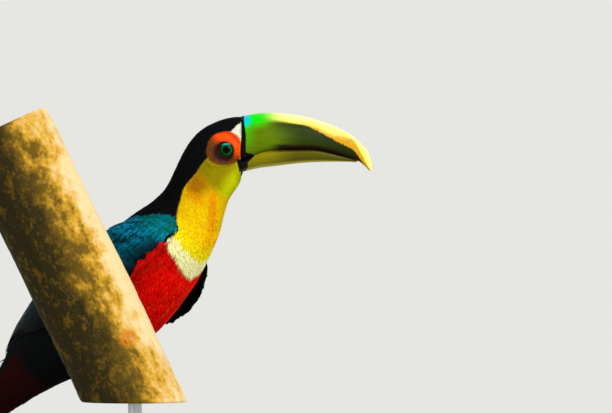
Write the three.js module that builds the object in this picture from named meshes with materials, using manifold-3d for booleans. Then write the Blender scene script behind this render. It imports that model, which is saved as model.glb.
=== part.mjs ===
// A red-breasted toucan, life size, perched behind a slanting cut limb on a plain display stand.
// Millimetres, +Z up, +X the way the bill points, +Y away from the bird's right side.
// The origin is the centre of the stand base's underside, on the floor.
import * as THREE from "three";
import { mergeVertices } from "three/addons/utils/BufferGeometryUtils.js";
import Module from "manifold-3d";

const wasm = await Module();
wasm.setup();

// ---- Driving dimensions, millimetres and degrees ----

const GAP = 0.3; // clearance between pieces that touch
const BODY_YAW = 35; // how far the body turns from the bill's direction
const BODY_PITCH = 37.4; // how steeply the back slopes
const BODY_SIDES = 24;
const RINGS_PER_STATION = 2.4;
const ROUNDNESS = 2.2; // 2 is an ellipse, more is squarer

// The feathered body from the face to the root of the tail, as cross-sections: the centre, the slope and
// turn of the section's axis, the depth from the centre to back and belly, and the half width.
const BODY = [
  { name: "face", at: [102.5, 0, 287.2], pitch: 0, yaw: 0, back: 20.9, belly: 20.9, half: 14.6 },
  { name: "eyes", at: [93.5, 0, 281.8], pitch: 12, yaw: 0, back: 24.9, belly: 24.9, half: 17.8 },
  { name: "ears", at: [81.9, 0, 272.6], pitch: 25, yaw: 0, back: 27.5, belly: 27.5, half: 22 },
  { name: "nape", at: [74.7, 0.3, 262.5], pitch: 45, yaw: 5, back: 25, belly: 25, half: 22.8 },
  { name: "neck", at: [69.4, 1, 250.3], pitch: 57.6, yaw: 10, back: 24, belly: 24, half: 22.6 },
  { name: "throat", at: [65.3, 1.9, 240.7], pitch: 61.2, yaw: 15, back: 25.1, belly: 25.1, half: 24 },
  { name: "shoulders", at: [58.5, 4.1, 229.7], pitch: 60.3, yaw: 21, back: 28.6, belly: 28.6, half: 28 },
  { name: "mantle", at: [49.1, 8.2, 218.2], pitch: 55, yaw: 27, back: 32.3, belly: 32.3, half: 32.6 },
  { name: "breast", at: [38.4, 14.2, 205], pitch: 47.3, yaw: 32, back: 35.5, belly: 36.6, half: 35 },
  { name: "chest", at: [27.5, 21.3, 191.3], pitch: 40.3, yaw: 35, back: 38, belly: 40.9, half: 36.5 },
  { name: "belly", at: [7.4, 34.9, 171], pitch: BODY_PITCH, yaw: BODY_YAW, back: 39, belly: 42.5, half: 37.5 },
  { name: "hips", at: [-13.4, 48.9, 155.9], pitch: BODY_PITCH, yaw: BODY_YAW, back: 36.5, belly: 37.5, half: 35 },
  { name: "rump", at: [-33.5, 62.4, 141], pitch: BODY_PITCH, yaw: BODY_YAW, back: 31.5, belly: 34, half: 29 },
  { name: "vent", at: [-53.7, 75.9, 125.5], pitch: BODY_PITCH, yaw: BODY_YAW, back: 24, belly: 27, half: 22.5 },
  { name: "tail_root", at: [-72.3, 88.2, 105.8], pitch: BODY_PITCH, yaw: BODY_YAW, back: 17, belly: 18, half: 17 },
];

// Where the body is parted, as places along the list of stations.
const HEAD_END = 3.4;
const NECK_END = 6.2;

const EYE_RADIUS = 7;
const EYE_AT = [90.4, 14.1, 282.5]; // the left eye; the right one is its mirror image

// The bill, as the same kind of sections in the plane y = 0.
const UPPER_BILL = [
  { at: [102.8, 0, 292.9], pitch: 0, back: 15.5, belly: 19, half: 14 },
  { at: [120, 0, 297], pitch: 0, back: 13.8, belly: 16, half: 14.6 },
  { at: [144.5, 0, 296], pitch: -8, back: 12.5, belly: 14.1, half: 12 },
  { at: [163, 0, 292.2], pitch: -18, back: 10.9, belly: 11, half: 9.6 },
  { at: [178.8, 0, 286.5], pitch: -30, back: 9.3, belly: 9.4, half: 7.4 },
  { at: [191.1, 0, 279.2], pitch: -48, back: 5.7, belly: 5.7, half: 5.2 },
  { at: [195, 0, 274.3], pitch: -66, back: 3.7, belly: 3.7, half: 3.6 },
  { at: [197.4, 0, 270], pitch: -78, back: 2.3, belly: 2.3, half: 2.4 },
  { at: [198.7, 0, 266.9], pitch: -86, back: 0.7, belly: 0.7, half: 0.8 },
];
const LOWER_BILL = [
  { at: [102.8, 0, 271.6], pitch: 0, back: 6, belly: 5.4, half: 13.2 },
  { at: [114, 0, 274], pitch: 0, back: 6.5, belly: 5.2, half: 13.7 },
  { at: [124, 0, 276.6], pitch: 0, back: 7, belly: 6.5, half: 13.2 },
  { at: [145, 0, 278.2], pitch: 0, back: 6.5, belly: 5.6, half: 10.9 },
  { at: [160.5, 0, 277.9], pitch: 0, back: 5, belly: 4.4, half: 8.5 },
  { at: [175.6, 0, 276.3], pitch: -5, back: 3.5, belly: 2.6, half: 5.6 },
  { at: [188.5, 0, 274.2], pitch: -8, back: 0.8, belly: 0.8, half: 2.2 },
];
const BILL_SIDES = 18;
const UPPER_BILL_SHAPE = { top: 2, bottom: 5, narrowing: 0.22 };
const LOWER_BILL_SHAPE = { top: 5, bottom: 2.3, narrowing: -0.2 };

// The folded wings lie on the body. Stations from the bend to the tip: the share of the wing's length,
// and the angles from the middle of the back to the upper and lower edges.
const WING_START = 6.15; // places along the body
const WING_TIP = 13.75;
const WING = [
  { along: 0, top: 92, low: 103 },
  { along: 0.04, top: 73, low: 108 },
  { along: 0.13, top: 52, low: 110 },
  { along: 0.3, top: 28, low: 109 },
  { along: 0.52, top: 14, low: 103 },
  { along: 0.76, top: 8, low: 80 },
  { along: 0.92, top: 6, low: 46 },
  { along: 1, top: 7, low: 18 },
];
const WING_GRID = [22, 7]; // faces along and across
const WING_THICKNESS = 4.2;
const WING_EDGE = 0.8;
const LEFT_WING_DROOP = 25; // degrees: the left wing hangs a little lower
const LEFT_WING_LIFT = 6; // and stands this far off the body at its lower edge
const DROOP_FROM = [0.04, 0.28]; // shares of the wing's length over which it comes away
const DROOP_TO = [0.38, 0.78]; // and over which it comes back

// The tail, as distances behind its root with the depths to top and underside and the half width.
const TAIL = [
  { behind: GAP, back: 17, belly: 18, half: 17 },
  { behind: 20, back: 11, belly: 15, half: 17.5 },
  { behind: 45, back: 6.5, belly: 10, half: 19 },
  { behind: 80, back: 3.5, belly: 4.5, half: 21.5 },
  { behind: 106, back: 2.4, belly: 2.4, half: 22.5 },
  { behind: 121, back: 1.8, belly: 1.8, half: 17.5 },
  { behind: 128, back: 1, belly: 1, half: 7 },
];

// The limb in front of the bird, and the side branch behind it that the feet hold.
const LIMB_FOOT = [22.8, -48, 94];
const LIMB_TOP = [-75.5, -48, 300];
const LIMB_RADIUS = 36;
const PERCH_START = [-8, -20, 106];
const PERCH_END = [21.5, 80, 110];
const PERCH_RADIUS = 10;

// The feet: places along the perch, and the toes, two forward and two back.
const RIGHT_FOOT_AT = 0.41;
const LEFT_FOOT_AT = 0.76;
const TOES = [
  { name: "middle", forward: 1, aside: 3.2, spread: 3.4, length: 33, radius: 2.9 },
  { name: "inner", forward: 1, aside: -3.2, spread: -2.6, length: 25, radius: 2.6 },
  { name: "outer", forward: -1, aside: 3.2, spread: 3.2, length: 30, radius: 2.8 },
  { name: "hind", forward: -1, aside: -3.2, spread: -2.4, length: 19, radius: 2.4 },
];
const CLAW_SHARE = 0.22; // the last part of a toe's length that is claw
const TOE_OVERLAP = 3; // how far each toe starts past the middle of the foot
const FOOT_RADIUS = 5;
const TARSUS_RADIUS = 3;
const ANKLE_RISE = 24;
const ANKLE_BACK = 9;
const THIGH_LENGTH = 30;
const THIGH_RADIUS = 13;
const THIGH_SPREAD = 0.3; // how far the thighs lean outwards

const BASE_SIZE = [240, 190, 12];
const BASE_CORNER = 14;
const BASE_BEVEL = 1.5;
const ROD_RADIUS = 5;
const ROD_SEAT = 7; // how deep a rod goes into the base, the limb and the perch
const LIMB_ROD_AT = [22.8, -48];
const PERCH_ROD_SHARE = 0.93; // place of the rear rod along the perch

// ---- Helpers ----

const radians = THREE.MathUtils.degToRad;
const vector = (list) => new THREE.Vector3(...list);

// One closed mesh with shared vertices and faces turned outwards.
function closed(geometry) {
  geometry.deleteAttribute("normal");
  geometry.deleteAttribute("uv");
  geometry.clearGroups();
  const merged = mergeVertices(geometry, 1e-4);
  const position = merged.attributes.position;
  const corners = [new THREE.Vector3(), new THREE.Vector3(), new THREE.Vector3()];
  const faces = [];
  let volume = 0;
  for (let i = 0; i < merged.index.count; i += 3) {
    const face = [0, 1, 2].map((k) => merged.index.getX(i + k));
    if (new Set(face).size < 3) continue;
    faces.push(face);
    face.forEach((v, k) => corners[k].fromBufferAttribute(position, v));
    volume += corners[0].dot(corners[1].cross(corners[2]));
  }
  merged.setIndex((volume < 0 ? faces.map((face) => face.reverse()) : faces).flat());
  return merged;
}

// A solid drawn along a path: place(t, angle, reach) gives the point at share t of the length, at an angle
// round the section, and at reach 0 on its axis or 1 on its surface.
function swept(lengths, sides, place) {
  const geometry = new THREE.CylinderGeometry(1, 1, 1, sides, lengths);
  const position = geometry.attributes.position;
  const point = new THREE.Vector3();
  for (let i = 0; i < position.count; i++) {
    point.fromBufferAttribute(position, i);
    const reach = Math.min(1, Math.hypot(point.x, point.z));
    const moved = place(0.5 - point.y, Math.atan2(point.x, point.z), reach);
    position.setXYZ(i, moved.x, moved.y, moved.z);
  }
  return closed(geometry);
}

function solidOf(geometry) {
  return new wasm.Manifold(
    new wasm.Mesh({
      numProp: 3,
      vertProperties: new Float32Array(geometry.attributes.position.array),
      triVerts: new Uint32Array(geometry.index.array),
    }),
  );
}

function geometryOf(solid) {
  const mesh = solid.getMesh();
  return new THREE.BufferGeometry()
    .setAttribute("position", new THREE.BufferAttribute(mesh.vertProperties, 3))
    .setIndex(new THREE.BufferAttribute(mesh.triVerts, 1));
}

const joined = (first, ...others) =>
  geometryOf(others.reduce((solid, other) => solid.add(solidOf(other)), solidOf(first)));

const cut = (first, ...others) =>
  geometryOf(others.reduce((solid, other) => solid.subtract(solidOf(other)), solidOf(first)));

// A smooth curve through a list of stations, read at a fractional place along the list.
function smooth(stations, read) {
  const points = stations.map((station) => vector(read(station)));
  const curve = new THREE.CatmullRomCurve3(points, false, "catmullrom", 0.5);
  return (place) => curve.getPoint(THREE.MathUtils.clamp(place / (stations.length - 1), 0, 1));
}

const rounded = (value, roundness) => Math.sign(value) * Math.abs(value) ** (2 / roundness);

// The surface through a list of stations: point(place, angle, lift, reach). The angle runs from 0 at the
// middle of the back over the left side to 180 degrees at the belly, and lift grows the section.
function surfaceThrough(stations, shape = { top: ROUNDNESS, bottom: ROUNDNESS, narrowing: 0 }) {
  const centre = smooth(stations, (s) => s.at);
  const size = smooth(stations, (s) => [s.back, s.belly, s.half]);
  const lie = smooth(stations, (s) => [s.pitch, s.yaw ?? 0, 0]);
  return (place, angle, lift = 0, reach = 1) => {
    const [back, belly, half] = size(place).toArray();
    const [pitch, yaw] = lie(place).toArray().map(radians);
    const up = vector([-Math.sin(pitch) * Math.cos(yaw), Math.sin(pitch) * Math.sin(yaw), Math.cos(pitch)]);
    const left = vector([Math.sin(yaw), Math.cos(yaw), 0]);
    const above = Math.cos(angle) > 0;
    const roundness = above ? shape.top : shape.bottom;
    const height = rounded(Math.cos(angle), roundness);
    const width = rounded(Math.sin(angle), roundness) * (1 - shape.narrowing * height);
    return centre(place)
      .addScaledVector(up, height * ((above ? back : belly) + lift) * reach)
      .addScaledVector(left, width * (half + lift) * reach);
  };
}

// The length of such a surface between two places along its list, as a closed solid.
function lengthOf(surface, from, to, sides = BODY_SIDES, lift = 0) {
  const rings = Math.max(2, Math.round((to - from) * RINGS_PER_STATION));
  return swept(rings, sides, (t, angle, reach) =>
    surface(THREE.MathUtils.lerp(from, to, t), angle, lift, reach),
  );
}

// ---- The body ----

const bodySurface = surfaceThrough(BODY);
const PLACE_GAP = GAP / 12; // stations are about 12 mm apart where the body is parted

function ball(centre, radius, sides = 14) {
  return closed(new THREE.SphereGeometry(radius, sides, Math.ceil(sides * 0.6)).translate(...centre));
}

const eyeCentre = (side) => [EYE_AT[0], side * EYE_AT[1], EYE_AT[2]];

function headGeometry() {
  const head = lengthOf(bodySurface, 0, HEAD_END);
  const sockets = [1, -1].map((side) => ball(eyeCentre(side), EYE_RADIUS + GAP));
  return cut(head, ...sockets);
}

const neckGeometry = () => lengthOf(bodySurface, HEAD_END + PLACE_GAP, NECK_END);

const trunkGeometry = () => lengthOf(bodySurface, NECK_END + PLACE_GAP, BODY.length - 1);

// A folded wing: a patch of the body's surface, thickened, on the left (side 1) or right (side -1).
const wingEdges = smooth(WING, (station) => [station.along, station.top, station.low]);

// How far the left wing has come away from the body: 0 at both ends and 1 between.
const leftWingAway = (along) =>
  THREE.MathUtils.smoothstep(along, ...DROOP_FROM) * (1 - THREE.MathUtils.smoothstep(along, ...DROOP_TO));

function wingPatch(side, extra = 0) {
  const patch = new THREE.BoxGeometry(1, 1, 1, ...WING_GRID, 1);
  const position = patch.attributes.position;
  const isLeft = side > 0;
  for (let i = 0; i < position.count; i++) {
    const [along, top, low] = wingEdges((position.getX(i) + 0.5) * (WING.length - 1)).toArray();
    const across = position.getY(i) + 0.5;
    const away = isLeft ? leftWingAway(along) : 0;
    const middle = Math.sin(Math.PI * across) ** 0.5;
    const ends = Math.sin(Math.PI * THREE.MathUtils.clamp(along * 0.9 + 0.06, 0, 1)) ** 0.5;
    const stand = LEFT_WING_LIFT * away * across ** 3;
    const inner = 2 * GAP + stand - extra;
    const thickness = WING_EDGE + WING_THICKNESS * middle * ends + 2 * extra;
    const lift = position.getZ(i) > 0 ? inner + thickness : inner;
    const place = THREE.MathUtils.lerp(WING_START, WING_TIP, along);
    const angle = radians(THREE.MathUtils.lerp(top, low + LEFT_WING_DROOP * away, across)) * side;
    const moved = bodySurface(place, angle, lift);
    position.setXYZ(i, moved.x, moved.y, moved.z);
  }
  return closed(patch);
}

const bodyWithRoom = () => lengthOf(bodySurface, 0, BODY.length - 1, BODY_SIDES, GAP);

// The way the body points, level or along its slope.
const headward = (pitch) =>
  vector([
    Math.cos(radians(pitch)) * Math.cos(radians(BODY_YAW)),
    -Math.cos(radians(pitch)) * Math.sin(radians(BODY_YAW)),
    Math.sin(radians(pitch)),
  ]);

function tailGeometry() {
  const root = vector(BODY.at(-1).at);
  const stations = TAIL.map((station) => ({
    ...station,
    at: root.clone().addScaledVector(headward(BODY_PITCH), -station.behind).toArray(),
    pitch: BODY_PITCH,
    yaw: BODY_YAW,
  }));
  return lengthOf(surfaceThrough(stations), 0, stations.length - 1, 18);
}

// ---- The bill ----

const upperBillSurface = surfaceThrough(UPPER_BILL, UPPER_BILL_SHAPE);
const lowerBillSurface = surfaceThrough(LOWER_BILL, LOWER_BILL_SHAPE);

const upperBillGeometry = () => lengthOf(upperBillSurface, 0, UPPER_BILL.length - 1, BILL_SIDES);

function lowerBillGeometry() {
  const above = lengthOf(upperBillSurface, 0, UPPER_BILL.length - 1, BILL_SIDES, GAP);
  return cut(lengthOf(lowerBillSurface, 0, LOWER_BILL.length - 1, BILL_SIDES), above);
}

// ---- The limb and the perch ----

const tube = (start, end, radius, sides, lengths = 1) => {
  const axis = vector(end).sub(vector(start));
  const turn = new THREE.Quaternion().setFromUnitVectors(vector([0, -1, 0]), axis.clone().normalize());
  return swept(lengths, sides, (t, angle, reach) =>
    vector([Math.sin(angle), 0, Math.cos(angle)])
      .multiplyScalar(reach * radius)
      .applyQuaternion(turn)
      .addScaledVector(axis, t)
      .add(vector(start)),
  );
};

// Level at its sawn foot, square to its length at the top, and a little uneven in between.
function limbGeometry() {
  const foot = vector(LIMB_FOOT);
  const axis = vector(LIMB_TOP).sub(foot);
  const lean = Math.atan2(-axis.x, axis.z);
  return swept(10, 24, (t, angle, reach) => {
    const share = 1 - t;
    const squared = lean * THREE.MathUtils.smoothstep(share, 0, 0.35);
    const stretch = 1 / Math.cos(lean - squared);
    const uneven =
      1 + 0.016 * Math.sin(5 * share) * Math.sin(angle) + 0.01 * Math.sin(13 * share) * Math.cos(2 * angle);
    const across = Math.sin(angle) * LIMB_RADIUS * stretch * uneven * reach;
    const deep = Math.cos(angle) * LIMB_RADIUS * uneven * reach;
    return foot
      .clone()
      .addScaledVector(axis, share)
      .add(vector([across * Math.cos(squared), deep, across * Math.sin(squared)]));
  });
}

const perchAxis = vector(PERCH_END).sub(vector(PERCH_START));
const onPerch = (share) => vector(PERCH_START).addScaledVector(perchAxis, share);
const perchTube = (extra = 0) =>
  tube(PERCH_START, PERCH_END, PERCH_RADIUS + extra, 20, 4);

function rodTube(centre, from, to, extra = 0) {
  return tube([...centre, from - extra], [...centre, to + extra], ROD_RADIUS + extra, 16);
}

const limbRod = (extra) =>
  rodTube(LIMB_ROD_AT, BASE_SIZE[2] - ROD_SEAT, LIMB_FOOT[2] + ROD_SEAT, extra);

function perchRod(extra) {
  const seat = onPerch(PERCH_ROD_SHARE);
  return rodTube([seat.x, seat.y], BASE_SIZE[2] - ROD_SEAT, seat.z - GAP, extra);
}

// The perch grows out of the limb, so the two are one piece of wood with two bores for the rods.
const perchWoodGeometry = () => cut(perchTube(), limbGeometry(), perchRod(GAP));

// ---- The legs ----

// Across the perch, level, the way the bird faces.
const forwards = vector([perchAxis.y, -perchAxis.x, 0]).normalize();
const upwards = vector([0, 0, 1]);

// A toe follows the round of the perch from its top, and thins to the claw.
function toeGeometry(toe, foot) {
  const along = perchAxis.clone().normalize();
  return swept(7, 6, (t, angle, reach) => {
    const claw = THREE.MathUtils.smoothstep(t, 1 - CLAW_SHARE, 1);
    const radius = toe.radius * (1 - 0.3 * t) * (1 - 0.82 * claw) * (1 + 0.08 * Math.cos(t * 25));
    const ride = PERCH_RADIUS + GAP + radius;
    const round = (toe.forward * (toe.length * t - TOE_OVERLAP)) / (PERCH_RADIUS + toe.radius);
    const outward = upwards
      .clone()
      .multiplyScalar(Math.cos(round))
      .addScaledVector(forwards, Math.sin(round));
    return foot
      .clone()
      .addScaledVector(along, toe.aside + toe.spread * t + Math.cos(angle) * radius * reach)
      .addScaledVector(outward, ride + Math.sin(angle) * radius * reach);
  });
}

const ankleOf = (foot) =>
  foot
    .clone()
    .addScaledVector(forwards, -ANKLE_BACK)
    .addScaledVector(upwards, PERCH_RADIUS + ANKLE_RISE);

function footGeometry(share) {
  const foot = onPerch(share);
  const heel = foot.clone().addScaledVector(upwards, PERCH_RADIUS + FOOT_RADIUS * 0.7);
  const tarsus = tube(heel.toArray(), ankleOf(foot).toArray(), TARSUS_RADIUS, 10, 3);
  const toes = TOES.map((toe) => toeGeometry(toe, foot));
  const whole = joined(ball(heel.toArray(), FOOT_RADIUS, 10), tarsus, ...toes);
  return cut(whole, perchTube(GAP), bodyWithRoom());
}

// The feathered upper leg: a pear shape from beside the belly down to the ankle.
function thighGeometry(share, side) {
  const ankle = ankleOf(onPerch(share)).addScaledVector(upwards, -ANKLE_RISE * 0.45);
  const reach = headward(0).multiplyScalar(0.7).addScaledVector(upwards, 0.72).normalize();
  const outward = vector([Math.sin(radians(BODY_YAW)), Math.cos(radians(BODY_YAW)), 0]);
  reach.addScaledVector(outward, THIGH_SPREAD * side);
  const pear = swept(9, 16, (t, angle, reachOut) => {
    const radius = THIGH_RADIUS * (0.3 + 0.7 * Math.sin(Math.PI * t ** 0.9) ** 1.2);
    const level = vector([Math.cos(angle), Math.sin(angle), 0]).multiplyScalar(radius * reachOut);
    return ankle.clone().addScaledVector(reach, THIGH_LENGTH * t).add(level);
  });
  return cut(pear, bodyWithRoom(), wingPatch(side, GAP), tarsusWithRoom(share));
}

// The leg below the feathers with a little room round it, to cut the thigh clear of the tarsus.
function tarsusWithRoom(share) {
  const foot = onPerch(share);
  const heel = foot.clone().addScaledVector(upwards, PERCH_RADIUS);
  return tube(heel.toArray(), ankleOf(foot).addScaledVector(upwards, 1).toArray(), TARSUS_RADIUS + GAP, 10, 3);
}

// ---- The stand ----

function baseGeometry() {
  const [width, depth, height] = BASE_SIZE;
  const x = width / 2 - BASE_BEVEL;
  const y = depth / 2 - BASE_BEVEL;
  const corner = BASE_CORNER - BASE_BEVEL;
  const outline = new THREE.Shape();
  outline.absarc(x - corner, y - corner, corner, 0, Math.PI / 2);
  outline.absarc(corner - x, y - corner, corner, Math.PI / 2, Math.PI);
  outline.absarc(corner - x, corner - y, corner, Math.PI, 1.5 * Math.PI);
  outline.absarc(x - corner, corner - y, corner, 1.5 * Math.PI, 2 * Math.PI);
  const slab = new THREE.ExtrudeGeometry(outline, {
    depth: height - 2 * BASE_BEVEL,
    curveSegments: 5,
    bevelEnabled: true,
    bevelSize: BASE_BEVEL,
    bevelThickness: BASE_BEVEL,
    bevelSegments: 1,
  }).translate(0, 0, BASE_BEVEL);
  return cut(closed(slab), limbRod(GAP), perchRod(GAP));
}

// ---- The model ----

const toucan = new THREE.Group();

function add(name, geometry, colour, roughness, metalness = 0) {
  const material = new THREE.MeshStandardMaterial({ color: colour, roughness, metalness });
  const mesh = new THREE.Mesh(geometry, material);
  mesh.name = name;
  toucan.add(mesh);
}

add("head", headGeometry(), "#15161a", 0.7);
add("neck", neckGeometry(), "#e8b400", 0.8);
add("trunk", trunkGeometry(), "#c2150c", 0.8);
add("tail", tailGeometry(), "#101216", 0.6);
add("wing_right", wingPatch(-1), "#0d4a5e", 0.5);
add("wing_left", wingPatch(1), "#101a20", 0.5);
add("eye_right", ball(eyeCentre(-1), EYE_RADIUS), "#1f7a3a", 0.1);
add("eye_left", ball(eyeCentre(1), EYE_RADIUS), "#1f7a3a", 0.1);
add("bill_upper", upperBillGeometry(), "#a9b81c", 0.35);
add("bill_lower", lowerBillGeometry(), "#8f9a1a", 0.35);
add("thigh_right", thighGeometry(RIGHT_FOOT_AT, -1), "#15161a", 0.8);
add("thigh_left", thighGeometry(LEFT_FOOT_AT, 1), "#15161a", 0.8);
add("foot_right", footGeometry(RIGHT_FOOT_AT), "#3d4a3a", 0.6);
add("foot_left", footGeometry(LEFT_FOOT_AT), "#3d4a3a", 0.6);
add("perch_limb", cut(limbGeometry(), limbRod(GAP)), "#b09a5e", 0.85);
add("perch_branch", perchWoodGeometry(), "#8a7448", 0.85);
add("stand_base", baseGeometry(), "#2b2a28", 0.5);
add("stand_rod_limb", limbRod(0), "#8c8f92", 0.3, 1);
add("stand_rod_branch", perchRod(0), "#8c8f92", 0.3, 1);

export default toucan;
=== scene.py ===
"""A red-breasted toucan, life size, on a slanting cut limb held by a plain display stand.

One skin runs over the whole body, and a coat of small solid feathers lies on it. Places on the body are
read from its line: 0 at the face to 14 at the tail's root, and the side is the angle from the middle of the
back, 0 degrees, to the middle of the belly, 180.
"""

import math

import bmesh
import bpy
import numpy as np
from bpy.props import FloatProperty, FloatVectorProperty, IntProperty, PointerProperty
from mathutils import Matrix, Vector, noise
from mathutils.bvhtree import BVHTree


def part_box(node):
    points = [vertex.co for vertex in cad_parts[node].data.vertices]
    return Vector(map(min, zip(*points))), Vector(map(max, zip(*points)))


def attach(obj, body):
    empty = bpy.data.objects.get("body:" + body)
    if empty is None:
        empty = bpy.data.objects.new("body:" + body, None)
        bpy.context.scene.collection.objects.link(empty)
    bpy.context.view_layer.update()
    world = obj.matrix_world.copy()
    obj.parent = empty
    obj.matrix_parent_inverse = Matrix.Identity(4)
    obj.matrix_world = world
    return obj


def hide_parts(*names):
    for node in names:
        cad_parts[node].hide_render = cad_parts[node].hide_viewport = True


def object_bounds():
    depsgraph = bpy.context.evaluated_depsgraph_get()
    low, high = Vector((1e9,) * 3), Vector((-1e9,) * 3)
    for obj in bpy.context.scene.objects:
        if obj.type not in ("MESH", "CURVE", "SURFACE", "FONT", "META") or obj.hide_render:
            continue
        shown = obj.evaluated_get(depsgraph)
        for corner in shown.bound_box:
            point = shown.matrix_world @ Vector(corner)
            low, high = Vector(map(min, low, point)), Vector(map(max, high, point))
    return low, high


bl_info = {
    "name": "Toucan on a perch",
    "version": (1, 0, 0),
    "blender": (4, 5, 0),
    "location": "View3D > Sidebar > Toucan",
    "description": "Builds the skin, feathers, bill, eyes, feet, perch and stand of a life-size toucan",
    "category": "Add Mesh",
}

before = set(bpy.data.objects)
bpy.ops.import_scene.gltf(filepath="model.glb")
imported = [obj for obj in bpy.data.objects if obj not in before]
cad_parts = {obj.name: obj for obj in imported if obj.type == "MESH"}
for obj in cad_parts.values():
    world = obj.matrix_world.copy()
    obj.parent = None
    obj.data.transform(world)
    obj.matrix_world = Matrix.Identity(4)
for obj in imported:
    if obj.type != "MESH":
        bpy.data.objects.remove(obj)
CAD_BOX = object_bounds()
BODY = "root"
MM = 0.001
TURN = 2 * math.pi
# Corners nearer to each other than this are made one.
MERGE = 1e-6
# The least divisor.
TINY = 1e-9


# ---- Values that a user would change ----


def linear(hexadecimal):
    """A colour written as #rrggbb, in the linear values that shaders work with."""
    parts = [int(hexadecimal[i : i + 2], 16) / 255 for i in (1, 3, 5)]
    return tuple(c / 12.92 if c <= 0.04045 else ((c + 0.055) / 1.055) ** 2.4 for c in parts)


def colour(name, hexadecimal, about):
    """A colour property with its default written as #rrggbb."""
    return FloatVectorProperty(
        name=name, description=about, subtype="COLOR", size=3, min=0, max=1, default=linear(hexadecimal)
    )


def length(name, millimetres, about):
    """A length property with its default written in millimetres."""
    default = millimetres * MM
    return FloatProperty(name=name, description=about, unit="LENGTH", min=0, precision=5, default=default)


def number(name, value, about, **limits):
    """A property that is a plain number."""
    return FloatProperty(name=name, description=about, default=value, **limits)


class ToucanPlumage(bpy.types.PropertyGroup):
    """Colours and sizes of the skin and feathers."""

    black: colour("Black", "#070a0c", "Cap, nape, mantle, tail and vent")
    gold: colour("Gold", "#ffcc00", "Most of the bib")
    # The orange lines are painted shade in folds of the feathers.
    orange: colour("Orange", "#ffa000", "Lines down the bib and an arc under the cheek")
    lemon: colour("Lemon", "#ffe70a", "Lower edge of the bib")
    chin: colour("Chin", "#ccd200", "Chin and the front of the cheek")
    # The cheek's olive is painted shade under the eye and the bill.
    cheek: colour("Cheek", "#988a00", "Cheek under the eye")
    pale: colour("Pale band", "#fffdb4", "Band between the bib and the red breast")
    red: colour("Red", "#f40600", "Breast and belly")
    # The russet patch is painted shade beneath the cheek.
    russet: colour("Russet", "#b87402", "Patch behind the cheek")
    deep_red: colour("Deep red", "#9c0602", "Breast beside the wing")
    streak: colour("Streak", "#ff5208", "Orange streaks on the breast")
    # The coverts' red is painted dark: painted shade under the tail.
    coverts: colour("Tail coverts", "#2c0403", "Feathers beside and under the root of the tail")
    # The teals are a painted sheen on the wing's black feathers.
    teal: colour("Wing teal", "#008ab8", "Brightest part of the wing")
    deep_teal: colour("Deep teal", "#012f3c", "Darker part of the wing")
    green_teal: colour("Green teal", "#017e76", "Front edge of the wing")
    white: colour("White", "#eaead0", "Patch between the eye's skin and the bill")
    # The bare skin's orange above and brown below are partly painted light and shade.
    bare_orange: colour("Bare orange", "#ff4c00", "Bare skin above and in front of the eye")
    bare_brown: colour("Bare brown", "#623000", "Bare skin behind and below the eye")
    bare_dark: colour("Bare maroon", "#220200", "Skin of the lids")
    voxel: length("Skin mesh", 1.35, "Size of the skin's faces")
    swell: length("Swell", 0.7, "How far the parts grow so that they run together")
    fineness: number("Fineness", 1.0, "Scales the number of feathers", min=0.1, max=1.5)
    seed: IntProperty(name="Seed", description="Start of the random numbers", default=11)


class ToucanEye(bpy.types.PropertyGroup):
    """Colours and sizes of the eyes."""

    iris: colour("Iris", "#085614", "Ring round the pupil")
    iris_edge: colour("Iris edge", "#04290c", "Outer edge of the iris")
    # A painted reflection of the sky on the top of the iris.
    sky: colour("Iris top", "#10a8c4", "Bluer upper part of the iris")
    pupil: colour("Pupil", "#020303", "Pupil")
    pupil_radius: length("Pupil radius", 2.85, "Half the pupil's width")
    opening: length("Opening", 5.1, "Half the width of the gap between the lids")
    lid: length("Lid", 0.95, "Width of the lids' raised edge")


class ToucanHorn(bpy.types.PropertyGroup):
    """Colours of the bill, claws and toes."""

    yellow: colour("Ridge yellow", "#f6ec74", "Ridge of the bill")
    # A painted highlight: a pale line along the top of the ridge, where the bill's gloss would catch the
    # light.
    crest_highlight: colour("Crest", "#fdf6b4", "Pale line along the top of the ridge")
    amber: colour("Amber", "#cc9400", "Lower margin of the ridge")
    olive: colour("Olive", "#587200", "Sides of the bill at its base")
    # The darker olives of the sides are partly painted shade below the lit ridge.
    dark_olive: colour("Dark olive", "#283600", "Sides of the bill toward its middle")
    dusky: colour("Dusky", "#1a2200", "Sides of the bill toward its tip")
    green: colour("Base green", "#08e00a", "Top of the bill's base")
    blue: colour("Base blue", "#08c4d4", "Hindmost top of the bill's base")
    lower: colour("Lower olive", "#837c00", "Lower half of the bill")
    lower_front: colour("Lower front", "#565400", "Lower half of the bill toward its tip")
    # The underside's paler olive is partly a painted highlight along the lower edge.
    keel: colour("Lower edge", "#b0a600", "Underside of the bill")
    stripe: colour("Stripe", "#1e0907", "Cutting edges")
    band: colour("Band", "#08090a", "Band round the bill's base")
    claw: colour("Claw", "#2a2723", "Claws")
    toe: colour("Toe", "#66705f", "Feet")


class ToucanPerch(bpy.types.PropertyGroup):
    """Colours and relief of the limb and the side branch."""

    # The cream on the right and the dark on the left are partly painted light and shade: the bark is painted
    # paler on its right side and darker on its left.
    cream: colour("Cream", "#e0c994", "Smooth bark on the right")
    gold: colour("Gold", "#cf9c2a", "Stained bark")
    brown: colour("Brown", "#7c5e10", "Edges of the dark patches")
    dark: colour("Dark", "#2e270b", "Dark patches")
    knot: colour("Knot", "#c07412", "Bark round the knots")
    heart: colour("Heartwood", "#c39a5c", "Sawn ends")
    ring: colour("Growth rings", "#7d5a2c", "Rings in the sawn ends")
    relief: length("Relief", 0.9, "Depth of the bark's cracks")


class ToucanStand(bpy.types.PropertyGroup):
    """Colours and sizes of the display stand."""

    wood: colour("Wood", "#4a2d1a", "Base")
    grain: colour("Grain", "#22130a", "Darker grain of the base")
    steel: colour("Steel", "#b9bcbf", "Rods")
    corner: length("Corner", 14, "Radius of the base's corners")
    edge: length("Edge", 2.2, "Rounding of the base's top edge")


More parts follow.
